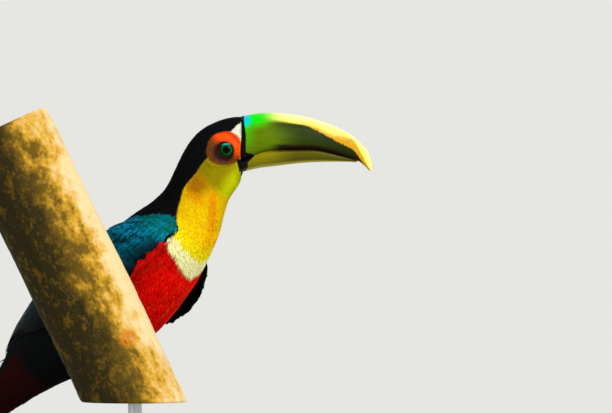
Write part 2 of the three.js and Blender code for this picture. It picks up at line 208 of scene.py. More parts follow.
class ToucanStage(bpy.types.PropertyGroup):
    """Floor, lamps and camera."""

    floor: colour("Floor", "#d3d3d0", "Floor")
    background: colour("Background", "#e6e6e3", "What lies behind the model and the floor")
    key: number("Key lamp", 57, "Power of the main lamp, in watts", min=0)
    fill: number("Fill lamp", 7, "Power of the weaker lamp, in watts", min=0)
    rim: number("Rim lamp", 14, "Power of the lamp behind, in watts", min=0)
    sky: number("Sky", 0.42, "Strength of the even light", min=0)
    distance: length("Distance", 4000, "From the camera to the model")
    width: length("View width", 460.2, "What the camera takes in at the model")


# ---- Shaders ----


def maths(operation, reflected=False):
    """A method that adds a Math node. A reflected one has its socket last."""

    def method(self, *others):
        values = (*others, self) if reflected else (self, *others)
        return self.shader.add("ShaderNodeMath", {"operation": operation}, dict(enumerate(values)))

    return method


class Socket:
    """A shader socket on which Python's operators add Math nodes."""

    def __init__(self, shader, link):
        self.shader = shader
        self.link = link

    __add__ = __radd__ = maths("ADD")
    __sub__ = maths("SUBTRACT")
    __rsub__ = maths("SUBTRACT", reflected=True)
    __mul__ = __rmul__ = maths("MULTIPLY")
    __truediv__ = maths("DIVIDE")
    __pow__ = maths("POWER")
    smaller = maths("MINIMUM")
    sine = maths("SINE")
    size = maths("ABSOLUTE")

    def rise(self, low, high):
        """0 below low and 1 above high. low may be the larger."""
        bottom, top = 0.0, 1.0
        if not isinstance(low, Socket) and low > high:
            low, high, bottom, top = high, low, top, bottom
        values = dict(enumerate((self, low, high, bottom, top)))
        return self.shader.add("ShaderNodeMapRange", {"interpolation_type": "SMOOTHSTEP"}, values)


class Shader:
    """The node tree of a new material, or a given one, and the way its nodes are made."""

    def __init__(self, name, tree=None):
        if tree is None:
            self.material = bpy.data.materials.new(name)
            self.material.use_nodes = True
            tree = self.material.node_tree
            tree.nodes.clear()
        self.tree = tree
        self.coordinates = self.add("ShaderNodeTexCoord", output="Object")

    def add(self, kind, settings=None, values=None, output=0):
        """A node with its settings, and then the values or links of its sockets."""
        node = self.tree.nodes.new(kind)
        for name, value in (settings or {}).items():
            setattr(node, name, value)
        for key, value in (values or {}).items():
            if isinstance(value, Socket):
                self.tree.links.new(value.link, node.inputs[key])
            else:
                kept = node.inputs[key]
                kept.default_value = (*value, 1.0) if kept.type == "RGBA" and len(value) == 3 else value
        return Socket(self, node.outputs[output]) if node.outputs else None

    def attribute(self, name, output="Fac"):
        """A value, or with Color a colour, that the mesh keeps at each point."""
        return self.add("ShaderNodeAttribute", {"attribute_name": name}, output=output)

    def mix(self, factor, first, second):
        """One colour turned into another by a factor from 0 to 1."""
        settings = {"data_type": "RGBA", "clamp_factor": True}
        return self.add("ShaderNodeMix", settings, {0: factor, 6: first, 7: second}, 2)

    def times(self, picture, amount):
        """A colour made darker or lighter by a number."""
        return self.add("ShaderNodeVectorMath", {"operation": "SCALE"}, {0: picture, 3: amount})

    def apart(self, vector):
        """The x, y and z of a vector socket."""
        node = self.add("ShaderNodeSeparateXYZ", values={0: vector}).link.node
        return [Socket(self, node.outputs[i]) for i in range(3)]

    def placed(self, middle=(0, 0, 0), turn=(0, 0, 0), scale=(1, 1, 1)):
        """Object coordinates about a point, turned and scaled for a pattern."""
        values = {0: self.coordinates, 1: tuple(middle)}
        moved = self.add("ShaderNodeVectorMath", {"operation": "SUBTRACT"}, values)
        return self.add("ShaderNodeMapping", {"vector_type": "TEXTURE"}, {0: moved, 2: turn, 3: scale})

    def speckle(self, size, vector=None, detail=2.0, roughness=0.5):
        """Noise from 0 to 1 with spots of about that size in metres."""
        values = {"Vector": vector or self.coordinates, "Scale": 1 / size}
        return self.add("ShaderNodeTexNoise", values={**values, "Detail": detail, "Roughness": roughness})

    def cells(self, size, feature="F1"):
        """A pattern of cells of about that size in metres."""
        values = {"Vector": self.coordinates, "Scale": 1 / size}
        return self.add("ShaderNodeTexVoronoi", {"feature": feature}, values)

    def bump(self, height, depth):
        """A relief of that depth in metres where height runs from 0 to 1."""
        return self.add("ShaderNodeBump", values={"Strength": 1.0, "Distance": depth, "Height": height})

    def finish(self, base, roughness, normal=None, **constants):
        """The surface shader. constants are set on its own sockets."""
        values = {"Base Color": base, "Roughness": roughness}
        if normal is not None:
            values["Normal"] = normal
        values.update({name.replace("_", " "): value for name, value in constants.items()})
        surface = self.add("ShaderNodeBsdfPrincipled", values=values)
        self.add("ShaderNodeOutputMaterial", values={"Surface": surface})
        return self.material


# ---- Meshes ----

RIPPLE_WAVES = 7
# The sum of the waves is divided by this.
RIPPLE_PEAK = 3.2


def curve(rows, places):
    """Smooth values through rows of numbers, read at fractional places along them."""
    rows = np.asarray(rows, float)
    before = 2 * rows[0] - rows[1]
    after = 2 * rows[-1] - rows[-2]
    padded = np.vstack([before, rows, after])
    at = np.clip(np.asarray(places, float), 0, len(rows) - 1)
    first = np.minimum(at.astype(int), len(rows) - 2)
    u = (at - first)[:, None]
    a, b, c, d = (padded[first + k] for k in range(4))
    cubic = (2 * b) + (c - a) * u + (2 * a - 5 * b + 4 * c - d) * u**2 + (3 * b - a - 3 * c + d) * u**3
    return 0.5 * cubic


def ramp(value, low, high):
    """0 below low and 1 above high, with a smooth change between."""
    u = np.clip((np.asarray(value, float) - low) / (high - low), 0, 1)
    return u * u * (3 - 2 * u)


def fall(value, low, high):
    """1 below low and 0 above high."""
    return 1 - ramp(value, low, high)


def near(value, middle, full, none):
    """1 within full of the middle and 0 beyond none of it."""
    return fall(np.abs(value - middle), full, none)


def unit(vectors):
    """Vectors of length 1 that point the same ways."""
    return vectors / np.maximum(np.linalg.norm(vectors, axis=-1, keepdims=True), TINY)


def ripple(points, size, seed):
    """A smooth random value from about -1 to 1 that changes over that size in metres."""
    numbers = np.random.default_rng(seed)
    total = np.zeros(len(points))
    for _ in range(RIPPLE_WAVES):
        wave = unit(numbers.normal(size=3)) * numbers.uniform(0.6, 1.5) * TURN / (2 * size)
        total += np.sin(points @ wave + numbers.uniform(0, TURN))
    return total / RIPPLE_PEAK


def ease_rows(rows):
    """Eases every row but the first and the last toward its neighbours, in place."""
    rows[1:-1] = (rows[:-2] + 2 * rows[1:-1] + rows[2:]) / 4


def at_share(node, shares):
    """The point at those shares of a CAD node's box."""
    low, high = (np.array(corner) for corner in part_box(node))
    return low + np.array(shares) * (high - low)


def merged_copy(node):
    """A copy of a CAD node's mesh with its corners joined."""
    bm = bmesh.new()
    bm.from_mesh(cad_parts[node].data)
    bmesh.ops.remove_doubles(bm, verts=bm.verts, dist=MERGE)
    bm.normal_update()
    return bm


def tree_of(node):
    """A tree of a CAD node's faces, for finding points on it."""
    bm = merged_copy(node)
    tree = BVHTree.FromBMesh(bm)
    bm.free()
    return tree


def mesh_from(bm, name):
    """A mesh made from a bmesh, which is freed."""
    mesh = bpy.data.meshes.new(name)
    bm.to_mesh(mesh)
    bm.free()
    return mesh


def new_object(name, data):
    """An object in the scene."""
    obj = bpy.data.objects.new(name, data)
    bpy.context.scene.collection.objects.link(obj)
    return obj


def piece(name, mesh, nodes, materials):
    """A finished piece of the model, standing for the CAD nodes named."""
    obj = new_object(name, mesh)
    for material in materials:
        mesh.materials.append(material)
    mesh.polygons.foreach_set("use_smooth", [True] * len(mesh.polygons))
    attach(obj, BODY)
    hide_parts(*nodes)
    return obj


def read(rows, name="co", width=3):
    """The places of a mesh's vertices, or other values there, as an array."""
    values = np.empty(len(rows) * width)
    rows.foreach_get(name, values)
    return values.reshape(-1, width)


def stored(mesh, name):
    """The numbers that a mesh keeps at its vertices under a name."""
    return read(mesh.attributes[name].data, "value", 1)[:, 0]


def store(mesh, name, values):
    """Keeps one value or colour for each vertex of a mesh."""
    kind, field = ("FLOAT_COLOR", "color") if values.ndim == 2 else ("FLOAT", "value")
    if values.ndim == 2:
        values = np.column_stack([values, np.ones(len(values))])
    kept = mesh.attributes.new(name, kind, "POINT")
    kept.data.foreach_set(field, values.astype(np.float32).ravel())


def turns(sides):
    """The angles of that many spokes round a ring, in radians."""
    return np.arange(sides) * TURN / sides


def spokes(ups, lefts, sides):
    """Directions round each ring, from its up toward its left."""
    angles = turns(sides)
    return np.cos(angles)[None, :, None] * ups[:, None] + np.sin(angles)[None, :, None] * lefts[:, None]


def ringed(centres, ups, lefts, sizes):
    """Rings of points round centres, each point at its own size along its spoke."""
    return centres[:, None] + spokes(ups, lefts, sizes.shape[1]) * sizes[:, :, None]


def rolled(bm, points, **layers):
    """A closed tube through rings of points. layers hold a value for each point."""
    rings, sides = points.shape[:2]
    kept = {name: bm.verts.layers.float.get(name) or bm.verts.layers.float.new(name) for name in layers}
    made = bmesh.ops.create_grid(bm, x_segments=sides, y_segments=rings - 1, size=0.5)["verts"]
    for vert in made:
        row = round((vert.co.y + 0.5) * (rings - 1))
        column = round((vert.co.x + 0.5) * sides) % sides
        vert.co = points[row, column]
        for name, layer in kept.items():
            vert[layer] = layers[name][row, column]
    faces = {face for vert in made for face in vert.link_faces}
    bmesh.ops.remove_doubles(bm, verts=made, dist=1e-8)
    faces = [face for face in faces if face.is_valid]
    rims = {edge_ for face in faces for edge_ in face.edges if edge_.is_boundary}
    caps = bmesh.ops.holes_fill(bm, edges=list(rims), sides=0)["faces"]
    bmesh.ops.recalc_face_normals(bm, faces=faces + caps)
    return faces, caps


def wrapped(tree, centres, ups, lefts, sides, inward=False, reach=80 * MM):
    """Rings of points on a CAD surface round a line inside it, with its facets smoothed out."""
    sizes = np.full((len(centres), sides), np.nan)
    for i, outs in enumerate(spokes(ups, lefts, sides)):
        centre = centres[i]
        for j, out in enumerate(outs):
            start = centre + out * reach if inward else centre
            hit = tree.ray_cast(Vector(start), Vector(-out if inward else out))[0]
            if hit is not None:
                sizes[i, j] = np.linalg.norm(np.array(hit) - centre)
    if np.isnan(sizes).all(1).any():
        raise RuntimeError("a ring lies outside the part that it follows")
    angles = turns(sides)
    for ring in sizes:
        missing = np.isnan(ring)
        ring[missing] = np.interp(angles[missing], angles[~missing], ring[~missing], period=TURN)
    for _ in range(3):
        sizes = (np.roll(sizes, 1, 1) + 2 * sizes + np.roll(sizes, -1, 1)) / 4
    for _ in range(2):
        ease_rows(sizes)
    return ringed(centres, ups, lefts, sizes)


# ---- The body's line ----

# The node and the shares of its box at which the line passes, and the slope and turn of the body there.
STATIONS = [
    ("head", (1.0, 0.494, 0.682), 0, 0),
    ("head", (0.817, 0.494, 0.6), 12, 0),
    ("head", (0.581, 0.494, 0.461), 25, 0),
    ("head", (0.434, 0.501, 0.307), 45, 5),
    ("neck", (0.639, 0.434, 0.629), 57.6, 10),
    ("neck", (0.572, 0.45, 0.469), 61.2, 15),
    ("neck", (0.461, 0.488, 0.285), 60.3, 21),
    ("trunk", (0.799, 0.253, 0.841), 55, 27),
    ("trunk", (0.735, 0.3, 0.753), 47.3, 32),
    ("trunk", (0.671, 0.355, 0.663), 40.3, 35),
    ("trunk", (0.552, 0.462, 0.528), 37.4, 35),
    ("trunk", (0.428, 0.572, 0.428), 37.4, 35),
    ("trunk", (0.309, 0.677, 0.329), 37.4, 35),
    ("trunk", (0.189, 0.783, 0.226), 37.4, 35),
    ("trunk", (0.079, 0.88, 0.095), 37.4, 35),
]
LINE_SAMPLES = 421
# How many points are located at once.
BATCH = 4000
# How much distance from a sample counts beside distance ahead of it.
DISTANCE_WEIGHT = 0.02


class BodyLine:
    """The line that the body follows, with a frame of axis, up and left at each place."""

    def __init__(self, stations):
        self.points = np.array([at_share(node, shares) for node, shares, *_ in stations])
        self.turns = np.radians([turned for _, _, *turned in stations])
        self.places = np.linspace(0, len(stations) - 1, LINE_SAMPLES)
        self.centres, self.axes, self.ups, self.lefts = self.frames(self.places)
        self.speed = np.linalg.norm(np.gradient(self.centres, self.places, axis=0), axis=1)

    def frames(self, places):
        """Centres, axes toward the head, and the back's and left side's directions at places."""
        pitch, yaw = curve(self.turns, places).T
        lefts = np.stack([np.sin(yaw), np.cos(yaw), 0 * yaw], 1)
        ups = np.stack([-np.sin(pitch) * np.cos(yaw), np.sin(pitch) * np.sin(yaw), np.cos(pitch)], 1)
        return curve(self.points, places), np.cross(lefts, ups), ups, lefts

    def locate(self, points):
        """The place of each point and its angle round the body in degrees, positive on the left."""
        places = np.empty(len(points))
        angles = np.empty(len(points))
        for start in range(0, len(points), BATCH):
            some = slice(start, start + BATCH)
            away = points[some, None] - self.centres[None]
            ahead = np.einsum("nkc,kc->nk", away, self.axes)
            best = np.argmin(np.abs(ahead) + DISTANCE_WEIGHT * np.linalg.norm(away, axis=2), axis=1)
            rows = np.arange(len(best))
            places[some] = self.places[best] - ahead[rows, best] / self.speed[best]
            offset = away[rows, best]
            side = np.einsum("nc,nc->n", offset, self.lefts[best])
            up = np.einsum("nc,nc->n", offset, self.ups[best])
            angles[some] = np.degrees(np.arctan2(side, up))
        return places, angles

    def rearward(self, places):
        """The way the coat lies: back along the body."""
        return np.stack([np.interp(places, self.places, -self.axes[:, i]) for i in range(3)], 1)


LINE = BodyLine(STATIONS)
EYE_LOW, EYE_HIGH = (np.array(corner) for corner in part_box("eye_right"))
EYE = (EYE_LOW + EYE_HIGH) / 2
EYE_RADIUS = (EYE_HIGH[2] - EYE_LOW[2]) / 2


# ---- The wings' outer faces ----

WING_START = 6.15
WING_TIP = 13.75
WING_ROWS = 48
WING_COLUMNS = 20
# The part of its length over which a wing is mapped, and the sides that are tried for it, in degrees.
WING_SPAN = (0.03, 0.985)
WING_SWEEP = (-5, 160)
WING_REACH = 100 * MM


class WingMap:
    """A folded wing's outer face, read by shares of its length and breadth."""

    def __init__(self, node):
        self.side = 1 if node.endswith("left") else -1
        tree = tree_of(node)
        self.alongs = np.linspace(*WING_SPAN, WING_ROWS)
        centres, _, ups, lefts = LINE.frames(WING_START + (WING_TIP - WING_START) * self.alongs)
        sweep = np.radians(np.arange(*WING_SWEEP, 1.0))
        self.edges = np.empty((WING_ROWS, 2))
        self.grid = np.empty((WING_ROWS, WING_COLUMNS, 3))
        for i, centre in enumerate(centres):
            outs = np.cos(sweep)[:, None] * ups[i] + np.sin(sweep)[:, None] * lefts[i] * self.side
            hits = [tree.ray_cast(Vector(centre + out * WING_REACH), Vector(-out))[0] for out in outs]
            far = [math.inf if hit is None else (hit - Vector(centre)).length for hit in hits]
            found = np.flatnonzero(np.array(far) < WING_REACH)
            self.edges[i] = np.degrees(sweep[found[[0, -1]]])
            at = np.linspace(0, len(found) - 1, WING_COLUMNS)
            self.grid[i] = curve([hits[k] for k in found], at)
        for _ in range(4):
            ease_rows(self.grid)
            ease_rows(self.grid.swapaxes(0, 1))
        self.normals = unit(np.cross(np.gradient(self.grid, axis=0), np.gradient(self.grid, axis=1)))
        outward = np.einsum("ijc,ijc->ij", self.normals, self.grid - centres[:, None])
        self.normals[outward < 0] *= -1

    def share_of(self, places, angles):
        """Shares across the wing, from its upper edge, and along it, from its bend."""
        along = (places - WING_START) / (WING_TIP - WING_START)
        top, low = (np.interp(along, self.alongs, self.edges[:, k]) for k in range(2))
        return (np.abs(angles) - top) / np.maximum(low - top, 1), along

    def at(self, along, across):
        """Points and normals at arrays of shares along and across the wing."""
        # Short of the last row and column, so that there is always a next one.
        last = 1.001
        x = np.clip(np.interp(along, self.alongs, np.arange(WING_ROWS)), 0, WING_ROWS - last)
        y = np.clip(across, 0, 1) * (WING_COLUMNS - last)
        i, j = x.astype(int), y.astype(int)
        u, v = (x - i)[:, None], (y - j)[:, None]

        def read_grid(grid):
            top = grid[i, j] * (1 - v) + grid[i, j + 1] * v
            low = grid[i + 1, j] * (1 - v) + grid[i + 1, j + 1] * v
            return top * (1 - u) + low * u

        return read_grid(self.grid), unit(read_grid(self.normals))


WINGS = {name: WingMap(name) for name in ("wing_right", "wing_left")}


# ---- Markings ----

SIZES = ("voxel", "swell", "fineness", "seed")
HUES = tuple(name for name in ToucanPlumage.__annotations__ if name not in SIZES)

# Edges of the markings: the bib's and the orange line's as the side, in degrees, at places on the body,
# and the band's and the shoulder's as the place at each side.
BIB_EDGE = [
    (0.0, 62), (2.45, 72), (3.1, 76), (3.6, 70), (4.2, 70), (5.0, 78), (5.6, 90), (6.1, 107), (6.4, 110)
]
BAND_FROM = [(110, 6.44), (125, 6.64), (147, 6.84), (180, 7.07)]
BAND_TO = [(104, 6.85), (113, 6.95), (134, 7.23), (154, 7.5), (180, 7.75)]
# The orange line follows a fold of the bib's feathers and is painted shade.
ORANGE_LINE = [(3.0, 124), (3.7, 130), (4.15, 137), (4.7, 145), (5.15, 152), (5.8, 162), (6.4, 172)]
SHOULDER = [(40, 7.2), (50, 6.63), (62, 6.13), (72, 5.9), (82, 5.76), (91, 5.73), (100, 5.91), (107, 6.25)]
RED_EDGE = 92
RED_END = 10.9
COVERTS_FROM = 13.15
# The bare skin round the eye: how far its middle lies behind and above the eye's, half its width and
# height, and the power that squares its outline.
EYE_SKIN_BACK = 2.2 * MM
EYE_SKIN_UP = 1.0 * MM
EYE_SKIN_HALF = (13.4 * MM, 12.6 * MM)
EYE_SKIN_POWER = 2.3
# How far the wing's colours run over the shoulder past the upper edge, as a share of its breadth.
WING_OVER = -0.33
# Side of the body beyond which the flank's feathers lie over each wing's lower edge. The left has none.
FLANK_SIDE = {"wing_right": 105, "wing_left": 400}


def edge(points, at):
    """A marking's edge read between its points."""
    return np.interp(at, *zip(*points))


def past(value, line, at, start, end):
    """From 0 to 1 as a value goes from start to end beyond a marking's edge."""
    return ramp(value, *(edge(line, at) + beyond for beyond in (start, end)))


def blend(first, second, share):
    """One colour turned into another by a share for each point."""
    return first + (second - first) * np.asarray(share)[:, None]


def tones_of(hues):
    """The plumage's colours by name, as arrays."""
    return {name: np.array(getattr(hues, name)) for name in HUES}


def is_part(kinds, name):
    """Which of the parts named have that name, on either side of the body."""
    return np.char.startswith(kinds, name)


def eye_ring(points):
    """How far out each point lies in the eye's bare skin: 1 at its edge."""
    across = points[:, 0] - EYE[0] + EYE_SKIN_BACK
    up = points[:, 2] - EYE[2] - EYE_SKIN_UP
    corner = 1 + 0.09 * ramp(up - across, 8 * MM, 18 * MM)
    ways = (np.abs(way / half) ** EYE_SKIN_POWER for way, half in zip((across, up), EYE_SKIN_HALF))
    out = sum(ways) ** (1 / EYE_SKIN_POWER)
    return np.where(np.abs(points[:, 1]) > 8 * MM, out * corner, 9.0)


def breast_colour(place, angles, shaggy, tone):
    """Red, deeper beside the wing, with orange streaks toward the middle."""
    side = np.abs(angles)
    warmth = ramp(side, 104, 150) * ramp(place, 6.9, 8.2)
    red = blend(tone["deep_red"], tone["red"], np.clip(0.3 + 0.9 * warmth + 0.3 * shaggy, 0, 1))
    lines = ripple(np.stack([angles * 0.6 * MM, place * 4 * MM, 0 * place], 1), 1.2 * MM, 9)
    streaks = ramp(lines, 0.25, 0.9) * (0.1 + 0.35 * ramp(side, 140, 172))
    return blend(red, tone["streak"], streaks)


def bib_colour(place, side, shaggy, tone):
    """Cheek and chin, gold with orange lines and a russet patch, lemon, and the pale band. The cheek's olive,
    the russet patch and the orange lines are painted shade.
    """
    # The cheek's olive is painted shade under the eye and the bill.
    bib = blend(tone["cheek"], tone["chin"], ramp(side, 118, 150) * ramp(place, 0.2, 1.4))
    bib = blend(bib, tone["gold"], ramp(place - 0.004 * (170 - side), 2.3, 3.7))
    # The orange lines are painted shade in folds of the bib's feathers.
    line = near(side, edge(ORANGE_LINE, place), 3, 16)
    line *= ramp(place, 3.0, 3.7) * (1 - 0.5 * ramp(place, 5.0, 6.4))
    arc = near(place, 4.2, 0.08, 0.34) * near(side, 100, 12, 26)
    bib = blend(bib, tone["orange"], np.clip(line + 0.8 * arc, 0, 1) * (0.9 + 0.1 * shaggy))
    # The russet patch is painted shade beneath the cheek.
    patch = ramp(place, 2.6, 3.4) * fall(place, 3.75, 4.2)
    bib = blend(bib, tone["russet"], 0.9 * patch * near(side, 90, 6, 31))
    bib = blend(bib, tone["lemon"], past(place, BAND_FROM, side, -0.9, -0.1))
    return blend(bib, tone["pale"], past(place, BAND_FROM, side, -0.08, 0.1))


def paint_face(paint, points, place, shaggy, tone):
    """Lays the white patch, the eye's bare skin and the black at the bill's base on the colours.

    The colours come back with how bare each point is."""
    ahead = points[:, 0] - EYE[0]
    above = points[:, 2] - EYE[2]
    out = np.hypot(ahead, above)
    white = (ahead > 2.6 * MM) & (above > 5 * MM) & (above < 14.1 * MM + 1.02 * (ahead - 4.2 * MM))
    paint[white & (place < 1.6)] = tone["white"]
    bare = fall(eye_ring(points), 0.97, 1.03)
    # The bare skin is painted orange toward its upper front and brown behind and below: partly its own
    # colour, partly painted light from above and painted shade below.
    glow = ramp(0.75 * ahead + above, -4 * MM, 8.5 * MM)
    skin = blend(tone["bare_brown"], tone["bare_orange"], glow)
    dusk = fall(out + 0.18 * above + 0.24 * ahead + 0.3 * MM * shaggy, 5.8 * MM, 8.8 * MM)
    skin = blend(skin, tone["bare_dark"], np.clip(1.1 * dusk, 0, 1))
    skin = skin * (0.95 + 0.14 * ripple(points, 1.6 * MM, 8))[:, None]
    paint = blend(paint, np.clip(skin, 0, 1), bare)
    gape = (ahead > 7.7 * MM - 0.17 * (above + 7.5 * MM)) & (above < -7 * MM) & (above > -16.5 * MM)
    gape |= ahead > 10.5 * MM + 0.2 * np.maximum(above - 4 * MM, 0)
    gape &= place < 1.2
    paint[gape] = tone["black"]
    bare[gape] = 1
    return paint, bare


def markings(points, places, angles, hues):
    """The colour of the plumage or skin at points on the body, and how bare it is there."""
    side = np.abs(angles)
    shaggy = ripple(points, 2.4 * MM, 5)
    place = places + 0.05 * shaggy
    tone = tones_of(hues)
    paint = np.tile(tone["black"], (len(points), 1))
    breast = past(place, BAND_TO, side, -0.06, 0.06)
    breast *= ramp(side + 3 * shaggy, RED_EDGE - 2, RED_EDGE + 4)
    breast *= fall(place, RED_END - 0.25, RED_END + 0.25)
    paint = blend(paint, breast_colour(place, angles, shaggy, tone), breast)
    # Painted shade: the tail coverts' red is painted dark.
    under = ramp(side, 62, 74) * ramp(place, COVERTS_FROM - 0.3, COVERTS_FROM + 0.2)
    paint = blend(paint, tone["coverts"], under)
    bib = past(side + 1.2 * shaggy, BIB_EDGE, place, -1.2, 1.6)
    bib *= 1 - past(place, BAND_TO, side, -0.08, 0.04)
    paint = blend(paint, bib_colour(place, side, shaggy, tone), bib)
    return paint_face(paint, points, place, shaggy, tone)


def wing_shade(mottle, share, along, hues):
    """The colour of a wing's black feathers at shares across and along it, with a painted teal sheen:
    brightest and streaked on the upper part, deepening and going black toward the lower edge and the tip.
    """
    tone = tones_of(hues)
    body = blend(tone["deep_teal"], tone["teal"], np.clip(0.45 + 0.8 * mottle, 0, 1))
    body = blend(body, tone["green_teal"], 0.55 * fall(along, 0.02, 0.16))
    body = blend(body, tone["deep_teal"], 0.8 * ramp(share + 0.06 * mottle, 0.52, 0.78))
    body = blend(body, tone["black"], ramp(share + 0.08 * mottle, 0.74, 0.93))
    body = blend(body, tone["black"], fall(share + 0.02 * mottle, WING_OVER, WING_OVER + 0.07))
    return blend(body, tone["black"], 0.93 * ramp(along, 0.34, 0.66))


def plumage(points, kinds, hues):
    """The colours of the coat at points on those parts of the body, and how bare it is there."""
    places, angles = LINE.locate(points)
    side = np.abs(angles)
    shade, bare = markings(points, places, angles, hues)
    mottle = 0.6 * ripple(points, 3.6 * MM, 21) + 0.6 * ripple(points, 1.5 * MM, 24)
    ragged = ripple(points, 3 * MM, 22)
    for part, wing in WINGS.items():
        share, along = wing.share_of(places, angles)
        own = (kinds == part) & (side < FLANK_SIDE[part] + 1.5 * ragged)
        over = (share > WING_OVER - 0.02) & (share < 0.3) & (along > 0.05) & (along < 0.55)
        bend = (places + 0.04 * ragged > edge(SHOULDER, side)) & (along < 0.1)
        bend &= (side > SHOULDER[0][0]) & (side < SHOULDER[-1][0])
        share[bend] = np.clip(share[bend], WING_OVER + 0.1, 0.5)
        over = (over | bend) & (angles * wing.side > 0) & ~is_part(kinds, "wing")
        chosen = own | over
        shade[chosen] = wing_shade(mottle[chosen], share[chosen], along[chosen], hues)
    return shade, bare


# ---- The skin ----

PARTS = ("head", "neck", "trunk", "wing_right", "wing_left", "thigh_right", "thigh_left", "tail")
# How far behind the tail's root the skin goes on, and where it starts to thin there.
TAIL_FLESH = 72 * MM
TAIL_THINS = 28 * MM
# How far past its own skin each wing's feathers are held to reach, in millimetres.
WING_HOLD = {"wing_left": 2.0, "wing_right": 0.6}
# Depth of the coat at places along the body, in millimetres.
COAT_DEPTH = [(0, 0.8), (1.5, 0.95), (3.5, 1.4), (6, 1.9), (8, 2.3), (14, 2.3)]
# Skin farther than this from the middle of the head is a cheek's.
CHEEK = 9 * MM
# Passes of smoothing: more for the thighs, which join the trunk sharply.
SKIN_PASSES = 5
THIGH_PASSES = 25
# The skin is split finer within these distances of the eye.
FINER_WITHIN = (15.5 * MM, 11.5 * MM)
# The skin round the eye: how far out it is shaped, where it meets the head's, and its folds.
LID_REACH = 12.5 * MM
LID_BLEND = 10.5 * MM
LID_RISE = 0.5 * MM
LID_GAP = 0.1 * MM
LID_SNAP = 0.22 * MM
BEHIND_BALL = 1.3 * MM
FOLD_SPACING = 1.25 * MM
FOLD_DEPTH = 0.13 * MM


def flesh_object(values):
    """The parts of the body swollen a little and run together in one mesh."""
    whole = bmesh.new()
    rear = Vector(LINE.centres[-1] - LINE.axes[-1] * TAIL_FLESH)
    for name in (*PARTS, "eye_right", "eye_left"):
        part = merged_copy(name)
        if name == "tail":
            cut = {"geom": [*part.verts, *part.edges, *part.faces], "plane_co": rear, "clear_outer": True}
            bmesh.ops.bisect_plane(part, plane_no=Vector(-LINE.axes[-1]), **cut)
            bmesh.ops.holes_fill(part, edges=part.edges, sides=0)
        if not name.startswith("eye"):
            for vert in part.verts:
                vert.co += vert.normal * values.swell
        lump = mesh_from(part, "lump")
        whole.from_mesh(lump)
        bpy.data.meshes.remove(lump)
    obj = new_object("flesh", mesh_from(whole, "flesh"))
    remesh = obj.modifiers.new("run together", "REMESH")
    remesh.mode = "VOXEL"
    remesh.voxel_size = values.voxel
    return obj


def remeshed(obj):
    """A bmesh of the object with its modifiers applied. The object is removed."""
    graph = bpy.context.evaluated_depsgraph_get()
    mesh = bpy.data.meshes.new_from_object(obj.evaluated_get(graph))
    bpy.data.objects.remove(obj)
    bm = bmesh.new()
    bm.from_mesh(mesh)
    bpy.data.meshes.remove(mesh)
    return bm


def eased(bm, verts, times):
    """Smooths those vertices that many times."""
    for _ in range(times):
        bmesh.ops.smooth_vert(bm, verts=verts, factor=0.5, use_axis_x=True, use_axis_y=True, use_axis_z=True)


def beside_eyes(bm, radius):
    """The vertices of both cheeks within a radius of the eye, as seen from the side."""
    cheeks = [vert for vert in bm.verts if abs(vert.co.y) > CHEEK]
    return [vert for vert in cheeks if math.hypot(vert.co.x - EYE[0], vert.co.z - EYE[2]) < radius]


def finer_round_eyes(bm, radius):
    """Splits the faces round each eye in two both ways."""
    close = set(beside_eyes(bm, radius))
    edges = [e for e in bm.edges if e.verts[0] in close and e.verts[1] in close]
    bmesh.ops.subdivide_edges(bm, edges=edges, cuts=1, use_grid_fill=True)
    eased(bm, beside_eyes(bm, radius), 1)


def part_of(points):
    """The CAD part nearest to each point. The wings take in a little more than their own."""
    found = []
    for name in PARTS:
        tree = tree_of(name)
        far = np.array([tree.find_nearest(Vector(p))[3] for p in points])
        found.append(far - WING_HOLD.get(name, 0) * MM)
    return np.array(PARTS)[np.argmin(np.array(found), axis=0)]


def lids(points, values):
    """The skin with an opening over each eyeball, a raised rim and fine folds round it."""
    moved = points.copy()
    chosen = np.hypot(points[:, 0] - EYE[0], points[:, 2] - EYE[2]) < LID_REACH
    chosen &= np.abs(points[:, 1]) > CHEEK
    ahead, above = points[chosen, 0] - EYE[0], points[chosen, 2] - EYE[2]
    out = np.hypot(ahead, above)
    opening = values.opening
    r = np.where(np.abs(out - opening) < LID_SNAP, opening, out)
    stretch = np.where(out > MERGE, r / np.maximum(out, MERGE), 1)
    ball = np.sqrt(np.maximum(EYE_RADIUS**2 - np.minimum(r, EYE_RADIUS) ** 2, 0))
    rim = math.sqrt(EYE_RADIUS**2 - opening**2)
    lid = rim + LID_GAP + LID_RISE * np.sin(np.pi * np.clip((r - opening) / (2 * values.lid), 0, 1))
    flat = np.abs(points[chosen, 1]) - abs(EYE[1])
    lift = lid + (flat - lid) * ramp(r, opening + values.lid, LID_BLEND)
    inside = ball - BEHIND_BALL
    tucked = inside + (lid - inside) * ramp(r, opening - LID_RISE, opening)
    lift = np.where(r < opening - 0.05 * MM, tucked, lift)
    around = np.arctan2(above, ahead)
    folds = np.sin(TURN * (r + 0.25 * MM * np.sin(3 * around + 1)) / FOLD_SPACING)
    lift = lift + FOLD_DEPTH * folds * ramp(r, 6.2 * MM, 7.2 * MM) * fall(r, LID_BLEND, 12.3 * MM)
    moved[chosen, 0] = EYE[0] + ahead * stretch
    moved[chosen, 1] = np.sign(points[chosen, 1]) * (abs(EYE[1]) + lift)
    moved[chosen, 2] = EYE[2] + above * stretch
    return moved


def coat_depth(points, places, angles, parts):
    """How deep the coat lies on the skin at points, in metres: hardly at all round the eyes."""
    side = np.abs(angles)
    depth = edge(COAT_DEPTH, places) * MM
    depth[is_part(parts, "wing")] = 1.0 * MM
    depth[is_part(parts, "thigh")] = 1.4 * MM
    depth += 2.6 * MM * ramp(side, 118, 158) * ramp(places, 7.9, 8.9) * fall(places, 10.2, 11.2)
    depth -= 1.4 * MM * ramp(side, 140, 172) * fall(places, 1.0, 2.2)
    return np.where(eye_ring(points) < 1.05, 0.1 * MM, depth)


